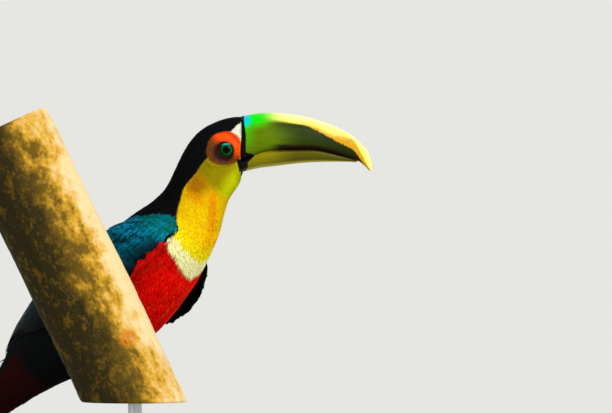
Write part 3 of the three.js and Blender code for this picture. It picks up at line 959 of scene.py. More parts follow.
def tail_thinned(points):
    """The skin thinned behind the tail's root, so that it ends between the tail feathers."""
    away = points - LINE.centres[-1]
    behind = -away @ LINE.axes[-1]
    height, aside = away @ LINE.ups[-1], away @ LINE.lefts[-1]
    flatter = height * 0.8 * ramp(behind, TAIL_THINS, TAIL_FLESH)
    narrower = aside * 0.7 * ramp(behind, TAIL_THINS, TAIL_FLESH + 8 * MM)
    return points - np.outer(flatter, LINE.ups[-1]) - np.outer(narrower, LINE.lefts[-1])


def move_vertices(mesh, points):
    """Puts a mesh's vertices at those points."""
    mesh.vertices.foreach_set("co", points.ravel())
    mesh.update()


def skin_mesh(values, eyes):
    """One closed skin over the whole body, drawn in by the depth of the coat."""
    bm = remeshed(flesh_object(values))
    eased(bm, bm.verts, SKIN_PASSES)
    for radius in FINER_WITHIN:
        finer_round_eyes(bm, radius)
    bmesh.ops.triangulate(bm, faces=[f for f in bm.faces if len(f.verts) > 4])
    bm.verts.ensure_lookup_table()
    parts = part_of(np.array([vert.co for vert in bm.verts]))
    eased(bm, [bm.verts[i] for i in np.flatnonzero(is_part(parts, "thigh"))], THIGH_PASSES)
    mesh = mesh_from(bm, "skin")

    points = read(mesh.vertices)
    places, angles = LINE.locate(points)
    for name, wing in WINGS.items():
        share, along = wing.share_of(places, angles)
        parts[(parts == name.replace("wing", "thigh")) & (share < 1) & (along < 1)] = name
    depth = coat_depth(points, places, angles, parts) + values.swell
    steps = 3
    for _ in range(steps):
        points = points - read(mesh.vertex_normals, "vector") * depth[:, None] / steps
        move_vertices(mesh, points)
    points = lids(tail_thinned(points), eyes)
    move_vertices(mesh, points)
    shade, bare = plumage(points, parts, values)
    shade[is_part(parts, "wing")] *= 0.5
    store(mesh, "shade", shade)
    store(mesh, "bare", bare)
    store(mesh, "part", np.array([PARTS.index(part) for part in parts], float))
    return mesh


def skin_material():
    """Down and bare skin: the markings, finely grained where the skin is bare."""
    shader = Shader("skin")
    marks = shader.attribute("shade", "Color")
    bare = shader.attribute("bare")
    mottle = shader.speckle(0.9 * MM, detail=3)
    grain = shader.cells(0.55 * MM)
    fine = shader.times(marks, 0.78 + mottle * 0.42)
    normal = shader.bump(grain * bare + mottle * (1 - bare), 0.12 * MM)
    return shader.finish(fine, 0.8 - bare * 0.3, normal, Specular_IOR_Level=0.08)


# ---- The coat ----

# A tuft has its root, rings of three corners at these shares of its length, and its tip.
RINGS = {1: (0.52,), 2: (0.36, 0.74)}
RING_WIDTHS = {1: (1.0,), 2: (1.0, 0.78)}
ROOT_DEPTH = 0.35 * MM
# How high a tuft's middle stands over its edges, as a share of its width.
TUFT_RIDGE = 0.3
# Length and width of the tufts at places along the body, and on parts that have their own, in
# millimetres, and how many lie over each other.
TUFT_LENGTH = [(0, 2.3), (1.0, 2.9), (2.5, 3.8), (4, 5.0), (6, 7.0), (8, 9.5), (14, 11.5)]
TUFT_WIDTH = [(0, 0.42), (1.0, 0.48), (2.5, 0.58), (4, 0.66), (6, 0.8), (8, 0.98), (14, 1.2)]
TUFTS_OF = {"wing": (7.5, 1.1), "thigh": (6.0, 0.85), "tail": (14, 1.9)}
TUFT_COVER = 7.0
# A tuft covers about this share of its length times its width.
TUFT_FILL = 0.55
# Tufts that are shorter than this have one ring, and longer ones two.
SHORT_TUFT = 6 * MM
# How far past the skin's rear end the tail's tufts may reach.
TAIL_REACH = 4 * MM
# Pieces of the coat along the body, and the places where they meet.
COAT_PIECES = ("face", "crown", "nape", "neck", "shoulders", "mantle", "breast", "belly", "rump", "tail_root")
COAT_ENDS = (1.4, 2.6, 4.0, 5.4, 6.9, 8.4, 10.2, 11.9, 13.2)
COAT_THIGHS_FROM = 8.2
# Small feathers end here on the wings, where the large ones take over.
WING_VANES_FROM = 9.9
# Each tuft's patch of the unwrapped coat, and how much of its shading is that of the skin under it.
UV_MAP = "OFBake"
BAKE_PATCH = 0.003
SOFTNESS = 0.6


def feather_material(name, gloss=0.0, barbs=False):
    """Feathers: the markings, darker at the root, with fine barbs on the larger vanes."""
    shader = Shader(name)
    marks = shader.attribute("shade", "Color")
    along = shader.attribute("along")
    streak = shader.speckle(1.1 * MM, detail=3)
    light = (0.88 + along * 0.2) * (0.9 + streak * 0.2)
    normal = None
    if barbs:
        many, slant = 150, 16
        across = shader.attribute("across").size()
        lines = ((along * many - across * slant) * TURN).sine() * 0.5 + 0.5
        normal = shader.bump(lines, 0.06 * MM)
        light = light * (0.86 + lines * 0.2)
    return shader.finish(shader.times(marks, light), 0.7 - gloss, normal, Specular_IOR_Level=0.05)


def tuft_faces(rings):
    """The triangles of one closed tuft."""
    last = 3 * rings + 1
    foot = last - 3
    faces = []
    for k in range(3):
        after = (k + 1) % 3
        faces.append((0, 1 + after, 1 + k))
        for ring in range(rings - 1):
            a, b = 1 + 3 * ring + k, 1 + 3 * ring + after
            faces += [(a, b, b + 3), (a, b + 3, a + 3)]
        faces.append((foot + k, foot + after, last))
    return np.array(faces)


def tufts(tree, roots, normals, headings, lengths, widths, lifts, rings, reach=math.inf):
    """The corners of tufts on the skin. Rings farther than reach from it stay where they are."""
    count = len(roots)
    across = unit(np.cross(headings, normals))
    corners = np.empty((count, 3 * rings + 2, 3))
    corners[:, 0] = roots - normals * ROOT_DEPTH
    for step, share in enumerate((*RINGS[rings], 1.0)):
        middle = roots + headings * (lengths * share)[:, None]
        upright = normals.copy()
        for i in range(count):
            place, normal, _, far = tree.find_nearest(Vector(middle[i]))
            if far <= reach:
                middle[i], upright[i] = place, normal
        middle += upright * (lifts * share ** 0.8)[:, None]
        if share == 1.0:
            corners[:, -1] = middle
            continue
        half = 0.5 * widths * RING_WIDTHS[rings][step]
        first = 1 + 3 * step
        corners[:, first] = middle - across * half[:, None]
        corners[:, first + 1] = middle + upright * (TUFT_RIDGE * widths)[:, None]
        corners[:, first + 2] = middle + across * half[:, None]
    return corners


def coat_piece(name, corners, upright, shades, rings, spots, nodes, material):
    """One piece of coat. spots are the tufts' places on the unwrapped coat."""
    count, per = corners.shape[:2]
    faces = (tuft_faces(rings)[None] + (np.arange(count) * per)[:, None, None]).reshape(-1, 3)
    mesh = bpy.data.meshes.new(name)
    mesh.vertices.add(count * per)
    mesh.vertices.foreach_set("co", corners.ravel())
    mesh.loops.add(faces.size)
    mesh.loops.foreach_set("vertex_index", faces.ravel())
    mesh.polygons.add(len(faces))
    mesh.polygons.foreach_set("loop_start", np.arange(0, faces.size, 3))
    mesh.update(calc_edges=True)
    shares = np.concatenate([[0.0], np.repeat(RINGS[rings], 3), [1.0]])
    sway = np.concatenate([[0.0], np.tile([-1.0, 0.0, 1.0], rings), [0.0]])
    store(mesh, "shade", np.repeat(shades, per, axis=0))
    store(mesh, "along", np.tile(shares, count))
    own, under = read(mesh.vertex_normals, "vector"), np.repeat(upright, per, axis=0)
    soft = unit(own * (1 - SOFTNESS) + under * SOFTNESS)
    patch = np.stack([sway, 2 * shares - 1], 1) * BAKE_PATCH / 2
    uv = (spots[:, None] + patch[None]).reshape(-1, 2)
    layer = mesh.uv_layers.new(name=UV_MAP)
    layer.uv.foreach_set("vector", uv[faces.ravel()].ravel())
    piece(name, mesh, nodes, [material])
    mesh.normals_split_custom_set_from_vertices(soft)


def roots_on(mesh, density, numbers):
    """Spots spread over a mesh, density to the square metre: their triangles and weights there."""
    mesh.calc_loop_triangles()
    triangles = np.empty(len(mesh.loop_triangles) * 3, int)
    mesh.loop_triangles.foreach_get("vertices", triangles)
    triangles = triangles.reshape(-1, 3)
    points = read(mesh.vertices)
    a, b, c = (points[triangles[:, k]] for k in range(3))
    areas = np.linalg.norm(np.cross(b - a, c - a), axis=1) / 2
    wanted = areas * density[triangles].mean(1)
    many = np.floor(wanted + numbers.random(len(wanted))).astype(int)
    chosen = np.repeat(np.arange(len(triangles)), many)
    u, v = numbers.random((2, len(chosen)))
    fold = u + v > 1
    u[fold], v[fold] = 1 - u[fold], 1 - v[fold]
    weights = np.stack([1 - u - v, u, v], 1)
    return triangles[chosen], weights


def tuft_size(places, parts):
    """Length and width of the tufts, in metres, at places on those parts."""
    long, wide = edge(TUFT_LENGTH, places), edge(TUFT_WIDTH, places)
    for name, (own_long, own_wide) in TUFTS_OF.items():
        chosen = is_part(parts, name)
        long[chosen], wide[chosen] = own_long, own_wide
    return long * MM, wide * MM


def tuft_roots(mesh, numbers, values):
    """Each tuft's root, the skin's direction there and the part that it is on."""
    points = read(mesh.vertices)
    normals = read(mesh.vertex_normals, "vector")
    bare = stored(mesh, "bare")
    kinds = np.array(PARTS)[stored(mesh, "part").astype(int)]
    long, wide = tuft_size(LINE.locate(points)[0], kinds)
    cover = TUFT_COVER * values.fineness / (TUFT_FILL * long * wide)
    cover = np.where(bare > 0.5, 0, cover)
    triangles, weights = roots_on(mesh, cover, numbers)
    roots, upright = (np.einsum("nk,nkc->nc", weights, array[triangles]) for array in (points, normals))
    return roots, unit(upright), kinds[triangles[:, 0]]


def tuft_headings(roots, upright, kinds, places):
    """The way each tuft lies along the skin, and which are kept: none that would stand on end."""
    headings = LINE.rearward(places)
    thigh, tail = is_part(kinds, "thigh"), kinds == "tail"
    headings[thigh] = headings[thigh] * 0.25 + np.array([0, 0, -1])
    headings -= upright * np.einsum("nc,nc->n", headings, upright)[:, None]
    keep = np.linalg.norm(headings, axis=1) > np.where(tail, 0.6, 0.12)
    keep &= (LINE.centres[-1] - roots) @ LINE.axes[-1] < TAIL_FLESH - TAIL_REACH
    return headings, keep


def tuft_lifts(kinds, places, numbers):
    """How far each tuft's tip stands off the skin, in metres."""
    lifts = (edge(COAT_DEPTH, places) * MM) * numbers.uniform(0.75, 1.0, len(places))
    lifts = np.where(is_part(kinds, "wing"), 1.1 * MM, lifts)
    return lifts * np.where(is_part(kinds, "thigh"), 0.7, 1) * np.where(kinds == "tail", 0.5, 1)


def coat_groups(kinds, places):
    """Which tufts belong to each piece of the coat."""
    thigh = is_part(kinds, "thigh")
    body = ~is_part(kinds, "wing") & ~thigh
    order = np.searchsorted(COAT_ENDS, places, side="right")
    groups = {name: body & (order == k) for k, name in enumerate(COAT_PIECES)}
    groups["thighs"] = thigh & (places >= COAT_THIGHS_FROM)
    for name in WINGS:
        groups[name] = (kinds == name) & (places < WING_VANES_FROM)
    return groups


def build_coat(skin, values):
    """Every tuft of the coat, in pieces from the head to the tail."""
    mesh = skin.data
    numbers = np.random.default_rng(values.seed)
    roots, upright, kinds = tuft_roots(mesh, numbers, values)
    places, angles = LINE.locate(roots)
    headings, keep = tuft_headings(roots, upright, kinds, places)
    arrays = (roots, upright, kinds, places, angles, headings)
    roots, upright, kinds, places, angles, headings = (array[keep] for array in arrays)
    count = len(roots)
    headings = unit(headings)
    sideways = np.cross(headings, upright)
    headings = unit(headings + sideways * numbers.normal(0, 0.12, count)[:, None])
    long, wide = (size * numbers.uniform(0.8, 1.2, count) for size in tuft_size(places, kinds))
    lifts = tuft_lifts(kinds, places, numbers)
    for name, wing in WINGS.items():
        fringe = (kinds == name) & (wing.share_of(places, angles)[0] > 0.8)
        long[fringe] *= 0.5
        lifts[fringe] *= 0.35

    shades, _ = plumage(roots + headings * (0.6 * long)[:, None], kinds, values)
    uneven = np.where(is_part(kinds, "wing"), 1, 0)
    light = 1 + numbers.normal(0, 0.1, count) + uneven * numbers.normal(0, 0.25, count)
    shades = np.clip(shades * np.clip(light, 0.3, 1.7)[:, None], 0, 1)

    points = read(mesh.vertices)
    tree = BVHTree.FromPolygons(points.tolist(), [list(p.vertices) for p in mesh.polygons])
    material = feather_material("small feathers")
    for group, chosen in coat_groups(kinds, places).items():
        where = np.flatnonzero(chosen)
        rings = 1 if long[where].mean() < SHORT_TUFT else 2
        some = [array[where] for array in (roots, upright, headings, long, wide, lifts)]
        corners = tufts(tree, *some, rings, TAIL_REACH if group == "tail_root" else math.inf)
        back = places[where]
        down = (back - back.min()) / (back.max() - back.min())
        spots = np.stack([angles[where] / 380 + 0.5, 0.01 + 0.98 * down], 1)
        nodes = sorted(set(kinds[where]))
        coat_piece("coat_" + group, corners, upright[where], shades[where], rings, spots, nodes, material)


# ---- The large feathers of the wings and the tail ----

VANE_SIDES = 14
VANE_RINGS = 30
# Rings stand closer together toward the tip, which is round.
VANE_SHARES = np.sin(np.linspace(0, TURN / 4, VANE_RINGS))
SHAFT_HEIGHT = 0.22 * MM
# Tiers of a folded wing's feathers: how many, where the first one's quill lies along and across the wing
# and the step to the next, the same for its tip, half a feather's width, and how proud the first one lies
# and the step to the next, in millimetres.
WING_TIERS = [
    (4, (0.46, 0.10), (0.01, 0.09), (0.78, 0.16), (0.02, 0.1), 7.5, 0.36, -0.07),
    (8, (0.42, 0.44), (0, 0.06), (0.80, 0.5), (0.008, 0.055), 6.0, 0.08, -0.07),
    (7, (0.5, 0.8), (0.03, -0.02), (0.985, 0.55), (-0.022, 0.06), 5.0, -0.48, -0.07),
    (11, (0.36, 0.08), (-0.004, 0.076), (0.52, 0.1), (-0.006, 0.083), 5.4, 0.15, 0),
    (12, (0.3, 0.06), (-0.004, 0.07), (0.42, 0.08), (-0.004, 0.077), 4.6, 0.45, 0),
]
# Quills are sunk this far into the wing.
QUILL_SINK = 2.4
# Pairs of tail feathers from the middle out: length behind the tail's root and distance from the middle
# at the root and at the tip, in millimetres.
TAIL_PAIRS = [
    (127.5, 1.5, 3.2), (126.5, 2.6, 7.2), (124, 3.7, 10.6),
    (120, 4.8, 13.4), (114, 5.9, 15.8), (107, 7.0, 17.6),
]
TAIL_HALF = 6.4
# The tail feathers' quills start this far behind the tail's root, in millimetres.
TAIL_QUILL = 14


def outline(share):
    """A feather's half width from quill to tip, as a share of its widest."""
    quill = 0.35 + 0.65 * ramp(share, 0, 0.35)
    tip = np.clip((1 - share) / 0.16, 0, 1) ** 0.5
    return quill * tip


def vane(bm, middles, acrosses, normals, half, thickness, camber, tilt, index, total):
    """One large feather: a thin closed lens arched over its shaft, with its unwrapped strip."""
    angles = turns(VANE_SIDES)
    share = VANE_SHARES
    widths = half * outline(share)
    x = np.cos(angles)
    thick = thickness * (0.25 + 0.75 * (1 - share))[:, None] * np.sin(angles)[None] * 0.5
    ridge = SHAFT_HEIGHT * np.exp(-((x / 0.12) ** 2)) * (np.sin(angles) > 0)
    shaft = ridge[None] * (1 - share * 0.8)[:, None]
    rise = thick + shaft + camber * (1 - x[None] ** 2) + tilt * x[None]
    points = middles[:, None] + acrosses[:, None] * (widths[:, None] * x[None])[:, :, None]
    points = points + normals[:, None] * rise[:, :, None]
    along = np.tile(share[:, None], (1, VANE_SIDES))
    across = np.tile(x[None], (VANE_RINGS, 1))
    faces, caps = rolled(bm, points, along=along, across=across)
    layer = bm.loops.layers.uv.get(UV_MAP) or bm.loops.layers.uv.new(UV_MAP)
    length_layer, width_layer = (bm.verts.layers.float[name] for name in ("along", "across"))
    for face in faces + caps:
        for loop in face.loops:
            u = (index + 0.5 + 0.45 * loop.vert[width_layer]) / total
            loop[layer].uv = (u, 0.02 + 0.96 * loop.vert[length_layer])


def wing_feathers():
    """The quill, tip, half width and lift of each large feather of a folded wing."""
    feathers = []
    for count, quill, quill_step, tip, tip_step, half, lift, lift_step in WING_TIERS:
        for k in range(count):
            ends = (np.array(quill) + k * np.array(quill_step), np.array(tip) + k * np.array(tip_step))
            feathers.append((*ends, half, lift + k * lift_step))
    return feathers


def build_wing(name, values):
    """The large feathers of one wing, in layers like tiles."""
    wing = WINGS[name]
    bm = bmesh.new()
    feathers = wing_feathers()
    ease = ramp(VANE_SHARES, 0, 0.3)
    for index, (quill, tip, half, lift) in enumerate(feathers):
        along, across = (quill + (tip - quill) * VANE_SHARES[:, None]).T
        middles, normals = wing.at(along, across)
        forward = unit(np.gradient(middles, axis=0))
        acrosses = unit(np.cross(normals, forward)) * wing.side
        middles = middles + normals * ((lift - QUILL_SINK * (1 - ease)) * MM)[:, None]
        vane(bm, middles, acrosses, normals, half * MM, 0.5 * MM, 0.35 * MM, 0.3 * MM, index, len(feathers))
    mesh = mesh_from(bm, "feathers_" + name)
    places, angles = LINE.locate(read(mesh.vertices))
    share, along = wing.share_of(places, angles)
    numbers = np.random.default_rng(values.seed)
    tones = np.repeat(numbers.normal(-0.1, 0.22, len(feathers)), len(places) // len(feathers))
    # Each vane's edges are painted lighter: a painted teal sheen along them.
    fringe = np.abs(stored(mesh, "across")) ** 6
    store(mesh, "shade", wing_shade(tones + 0.9 * fringe, share, along, values))
    material = feather_material("large feathers of " + name, 0.2, barbs=True)
    piece("feathers_" + name, mesh, [name], [material])


def build_tail(values):
    """The twelve tail feathers, the middle pair on top."""
    bm = bmesh.new()
    root, axis, up, left = (array[-1] for array in (LINE.centres, LINE.axes, LINE.ups, LINE.lefts))
    share = VANE_SHARES
    acrosses, normals = (np.tile(way, (VANE_RINGS, 1)) for way in (left, up))
    for pair, (reach, near_middle, far) in enumerate(TAIL_PAIRS):
        for side in (1, -1):
            behind = (TAIL_QUILL + (reach - TAIL_QUILL) * share) * MM
            aside = side * (near_middle + (far - near_middle) * share) * MM
            drop = (0.9 - 0.5 * pair - (0.12 if side > 0 else 0) - 1.4 * (share - 0.5)) * MM
            middles = root - axis * behind[:, None] + left * aside[:, None] + up * drop[:, None]
            index, total = 2 * pair + (side > 0), 2 * len(TAIL_PAIRS)
            tilt = -0.25 * side * MM
            vane(bm, middles, acrosses, normals, TAIL_HALF * MM, 0.7 * MM, 0.5 * MM, tilt, index, total)
    mesh = mesh_from(bm, "feathers_tail")
    points = read(mesh.vertices)
    sheen = np.clip(0.12 + 0.1 * ripple(points, 9 * MM, 2), 0, 1)
    tone = tones_of(values)
    store(mesh, "shade", blend(tone["black"], tone["deep_teal"], sheen))
    piece("feathers_tail", mesh, ["tail"], [feather_material("tail feathers", 0.2, barbs=True)])


# ---- The eyes ----

# The ball is this much smaller than the CAD's, and its cornea stands this much proud of it.
BALL_INSET = 0.05 * MM
CORNEA = 0.3 * MM


def eye_material(values):
    """A dark pupil in a mottled green iris, its top painted bluer as a painted reflection of the sky, under a
    clear coat.
    """
    shader = Shader("eye")
    about = shader.placed(EYE)
    x, _, z = shader.apart(about)
    out = ((x * x) + (z * z)) ** 0.5
    fibre = shader.speckle(0.55 * MM, about, detail=4)
    pupil = out.rise(values.pupil_radius + 0.12 * MM, values.pupil_radius - 0.12 * MM)
    rim = (out + fibre * 0.5 * MM).rise(values.opening - 1.0 * MM, values.opening - 0.1 * MM)
    iris = shader.mix(rim, shader.times(values.iris, 0.6 + fibre * 0.8), values.iris_edge)
    # A painted reflection of the sky: the iris's top is painted blue.
    iris = shader.mix((z - x * 0.08).rise(3.1 * MM, 4.3 * MM) * 0.9, iris, values.sky)
    base = shader.mix(pupil, iris, values.pupil)
    wet = {"Coat_Weight": 0.15, "Coat_Roughness": 0.02, "Coat_IOR": 1.33, "Specular_IOR_Level": 0.0}
    return shader.finish(base, 0.3 + fibre * 0.1, None, **wet)


def build_eyes(values):
    """Both eyeballs, a little proud over the pupil as a cornea is."""
    material = eye_material(values)
    for name in ("eye_right", "eye_left"):
        low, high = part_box(name)
        centre = (low + high) / 2
        side = 1 if centre.y > 0 else -1
        bm = bmesh.new()
        bmesh.ops.create_uvsphere(bm, u_segments=64, v_segments=48, radius=EYE_RADIUS - BALL_INSET)
        outward = Matrix.Rotation(-side * TURN / 4, 3, "X")
        bmesh.ops.rotate(bm, verts=bm.verts, cent=(0, 0, 0), matrix=outward)
        for vert in bm.verts:
            if vert.co.y * side > 0:
                out = math.hypot(vert.co.x, vert.co.z)
                vert.co.y += side * CORNEA * float(fall(out, 2.2 * MM, 4.4 * MM))
        bmesh.ops.translate(bm, verts=bm.verts, vec=centre)
        piece(name.replace("eye", "eyeball"), mesh_from(bm, name), [name], [material])


# ---- The bill ----

# The line inside each half of the bill, as shares of its box, with the slope there in degrees.
UPPER_LINE = [
    (0.0, 0.594, 0), (0.178, 0.688, 0), (0.43, 0.665, -8), (0.621, 0.578, -18),
    (0.784, 0.448, -30), (0.911, 0.282, -48), (0.952, 0.17, -66), (0.976, 0.072, -78),
    (0.989, 0.006, -86),
]
LOWER_LINE = [
    (0.0, 0.22, 0), (0.131, 0.444, 0), (0.247, 0.556, 0), (0.492, 0.65, 0),
    (0.673, 0.656, 0), (0.849, 0.556, -5), (0.947, 0.497, -8), (0.99, 0.467, -8),
]
BILL_RINGS = 84
BILL_SIDES = 64
BILL_SEAT = 5 * MM
# The easing of the rings thins the bill's tip, which is made up by this share.
BILL_TIP_FULLER = 0.15
# The notches of the upper cutting edges: from one to the next, in millimetres, and their depth.
NOTCH_SPACING = 3.1
NOTCH_DEPTH = 0.55 * MM


def bill_rings(node, line):
    """Rings round one half of the bill and its seat in the head.

    Each point's share of the way up its ring and its distance from the head come with them."""
    stations = np.array([[*at_share(node, (x, 0.5, z)), math.radians(pitch)] for x, z, pitch in line])
    rows = curve(stations, np.linspace(0.01, len(line) - 1, BILL_RINGS))
    centres = rows[:, :3] * (1, 0, 1)
    pitch = rows[:, 3]
    ups = np.stack([-np.sin(pitch), 0 * pitch, np.cos(pitch)], 1)
    lefts = np.tile([0.0, 1.0, 0.0], (BILL_RINGS, 1))
    points = wrapped(tree_of(node), centres, ups, lefts, BILL_SIDES)
    fuller = 1 + BILL_TIP_FULLER * ramp(np.linspace(0, 1, BILL_RINGS), 0.84, 1.0)
    points = centres[:, None] + (points - centres[:, None]) * fuller[:, None, None]
    heights = np.einsum("rsc,rc->rs", points - centres[:, None], ups)
    low, high = heights.min(1, keepdims=True), heights.max(1, keepdims=True)
    rise = (heights - low) / np.maximum(high - low, TINY)
    seats = []
    for k in (1.0, 0.5):
        seat = centres[0] + (points[0] - centres[0]) * (1 - 0.1 * k)
        seats.append(seat - np.array([BILL_SEAT * k, 0, 0]))
    points = np.concatenate([np.array(seats), points])
    rise = np.concatenate([rise[:1], rise[:1], rise])
    reach = points[:, :, 0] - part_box(node)[0].x
    return points, rise, reach


def bill_patterns(shader):
    """The share of the way up, the millimetres from the head, and two patterns."""
    reach = shader.attribute("reach") / MM
    ragged = shader.speckle(2.0 * MM, detail=3)
    grain = shader.speckle(1.2 * MM, shader.placed(scale=(9, 1, 1)), detail=4)
    return shader.attribute("rise"), reach, ragged, grain


def bill_finish(shader, base, patterns, width, values, roughness, shine):
    """The grain on a colour, the black band of that width in millimetres, and the surface."""
    _, reach, ragged, grain = patterns
    base = shader.times(base, 0.78 + grain * 0.42)
    band = (reach + (ragged - 0.5) * 0.6 - width).rise(0.3, -0.3)
    base = shader.mix(band, base, values.band)
    normal = shader.bump(grain, 0.05 * MM)
    return shader.finish(base, roughness + ragged * 0.12, normal, Specular_IOR_Level=shine)


def upper_bill_material(values):
    """Yellow ridge with a painted highlight along its top, olive sides partly darkened by painted shade, a
    green and blue base, dark cutting edges and a black band.
    """
    shader = Shader("upper bill")
    patterns = bill_patterns(shader)
    rise, reach, ragged, grain = patterns
    cloud = shader.speckle(12 * MM, shader.placed(scale=(2, 1, 1)), detail=2)
    # The sides, darker toward the tip and under the ridge: partly the bill's own olive and partly painted
    # shade of the sides below the lit ridge.
    side = shader.mix((reach + cloud * 12).rise(24, 52), values.olive, values.dark_olive)
    side = shader.mix((reach + cloud * 12).rise(46, 84) * 0.85, side, values.dusky)
    side = shader.mix((reach + cloud * 8).rise(17, 4) * rise.rise(0.1, 0.6) * 0.4, side, values.green)
    side = shader.mix(rise.rise(0.5, 0.68) * reach.rise(14, 30) * 0.5, side, values.dusky)
    # The ridge's lower edge comes down toward the tip, with amber along it.
    top_edge = 0.75 - reach.rise(44, 74) * 0.26 - reach.rise(82, 94) * 0.55
    across = rise + (ragged - 0.5) * reach.rise(46, 60) * 0.13
    yellow = across.rise(top_edge - 0.03, top_edge + 0.03 + reach.rise(44, 14) * 0.12)
    yellow = yellow * (reach + (cloud - 0.5) * 12).rise(10, 24)
    margin = top_edge - 0.04 + reach.rise(34, 62) * 0.14 + reach.rise(60, 88) * 0.32
    ridge = shader.mix(across.rise(margin - 0.1, margin + 0.12), values.amber, values.yellow)
    ridge = shader.mix(reach.rise(50, 20) * 0.3, ridge, values.green)
    # A painted highlight: a pale line along the top of the ridge.
    crest_highlight = rise.rise(0.84, 0.92) * rise.rise(1.0, 0.96) * reach.rise(22, 34) * 0.5
    ridge = shader.mix(crest_highlight, ridge, values.crest_highlight)
    base = shader.mix(yellow, side, shader.times(ridge, 0.84 + grain * 0.3))
    # The base's green and blue top, and the cutting edges.
    drifting = rise + (cloud - 0.5) * 0.2
    green = drifting.rise(0.56, 0.86) * (reach + (cloud - 0.5) * 14).rise(26, 10)
    base = shader.mix(green, base, values.green)
    blue = drifting.rise(0.66, 0.88) * (reach + (cloud - 0.5) * 6).rise(7.5, 3)
    base = shader.mix(blue, base, values.blue)
    edge_mark = (rise + (ragged - 0.5) * 0.1).rise(0.21, 0.12) * reach.rise(18, 30) * reach.rise(92, 87)
    base = shader.mix(edge_mark * 0.95, base, values.stripe)
    width = 2.2 - rise.rise(0.5, 0.95) * 1.5 + rise.rise(0.2, 0.0) * 6.4
    return bill_finish(shader, base, patterns, width, values, 0.32, 0.05)


def lower_bill_material(values):
    """Olive with a paler underside that is partly a painted highlight, dark cutting edges and the band's
    lower half.
    """
    shader = Shader("lower bill")
    patterns = bill_patterns(shader)
    rise, reach, ragged, _ = patterns
    base = shader.mix(reach.rise(16, 42), values.lower, values.lower_front)
    # The paler underside is partly a painted highlight along the bill's lower edge.
    base = shader.mix(rise.rise(0.26, 0.06), base, values.keel)
    edge_mark = (rise + (ragged - 0.5) * 0.12).rise(0.8, 0.97) * reach.rise(16, 28) * 0.8
    base = shader.mix(edge_mark, base, values.stripe)
    width = 3.7 + rise.rise(0.62, 1.0) * 5.0 - rise.rise(0.35, 0.02) * 1.4
    return bill_finish(shader, base, patterns, width, values, 0.34, 0.08)


def notched(points, rise, far):
    """The upper half with notches in its cutting edges. far is in millimetres from the head."""
    notch = fall(rise, 0.03, 0.13) * ramp(far, 18, 30) * fall(far, 80, 88)
    points[:, :, 2] += notch * ((far / NOTCH_SPACING) % 1.0) * NOTCH_DEPTH
    return points


def closed_under(points, rise, _):
    """The lower half with its top raised and its tip drawn to a point."""
    breadth = np.abs(points[:, :, 1]) / np.maximum(np.abs(points[:, :, 1]).max(1, keepdims=True), TINY)
    points[:, :, 2] += ramp(rise, 0.7, 1.0) * (1 - breadth**2) * 1.5 * MM
    taper = np.linspace(0, 1, len(points))
    narrow = np.sqrt(np.maximum(1 - np.clip((taper - 0.95) / 0.05, 0, 1) ** 2, 0.004))
    middle = points.mean(1, keepdims=True)
    top = points[:, :, 2].max(1, keepdims=True)
    points = middle + (points - middle) * narrow[:, None, None]
    points[:, :, 2] += (top - points[:, :, 2].max(1, keepdims=True)) * 0.8
    points[:, :, 0] += 2.2 * MM * ramp(taper, 0.93, 1.0)[:, None]
    return points


def build_bill(values):
    """Both halves of the bill."""
    for node, line, shaped, material in (
        ("bill_upper", UPPER_LINE, notched, upper_bill_material(values)),
        ("bill_lower", LOWER_LINE, closed_under, lower_bill_material(values)),
    ):
        points, rise, reach = bill_rings(node, line)
        points = shaped(points, rise, reach / MM)
        bm = bmesh.new()
        rolled(bm, points, rise=rise, reach=reach)
        piece(node.replace("bill", "horn"), mesh_from(bm, node), [node], [material])


# ---- The perch ----

LIMB_LINE = ((0.767, 0.5, 0.0), (0.192, 0.5, 0.931))
BRANCH_LINE = ((0.197, 0.007, 0.417), (0.803, 0.973, 0.583))
LIMB_RADIUS = 36 * MM
BRANCH_RADIUS = 10 * MM
LIMB_RINGS, LIMB_SIDES = 150, 132
BRANCH_RINGS, BRANCH_SIDES = 90, 56
# Knots on the limb's near side: how far up it and right of its middle, and size, in millimetres.
KNOTS = [(46, 17, 6)]
# How far the side branch turns into the limb, and over how many of its rings.
INTO_LIMB = 10 * MM
TURNED_RINGS = 12
# Growth rings: from one to the next, in millimetres.
RING_SPACING = 2.3


def bark_relief(rings, axis, depth, seed):
    """How deep the bark is cut in: long shallow cracks, fine grain and a few ring scars."""
    numbers = np.random.default_rng(seed)
    shift = Vector(numbers.uniform(-1, 1, 3))
    points = rings.reshape(-1, 3)
    lengthwise = points @ axis
    flat = points - lengthwise[:, None] * axis
    squeezed = flat / (7 * MM) + lengthwise[:, None] * axis / (30 * MM)
    fine = flat / (2.2 * MM) + lengthwise[:, None] * axis / (11 * MM)
    long = np.array([noise.noise(Vector(p) + shift) for p in squeezed])
    small = np.array([noise.noise(Vector(p) - shift) for p in fine])
    cut = fall(np.abs(long), 0.0, 0.14)
    scars = np.zeros(len(points))
    for place in numbers.uniform(lengthwise.min(), lengthwise.max(), 5):
        scars += np.exp(-(((lengthwise - place + 2 * MM * long) / (1.1 * MM)) ** 2))
    return (depth * (0.55 * cut + 0.35 * small + 0.3 * scars)).reshape(rings.shape[:2])


def turn_along(line):
    """The turn that lays a pattern's z along a line and keeps its x near the frame's."""
    z = unit(np.asarray(line))
    y = unit(np.cross(z, [1.0, 0, 0]))
    return tuple(Matrix((np.cross(y, z), y, z)).transposed().to_euler())


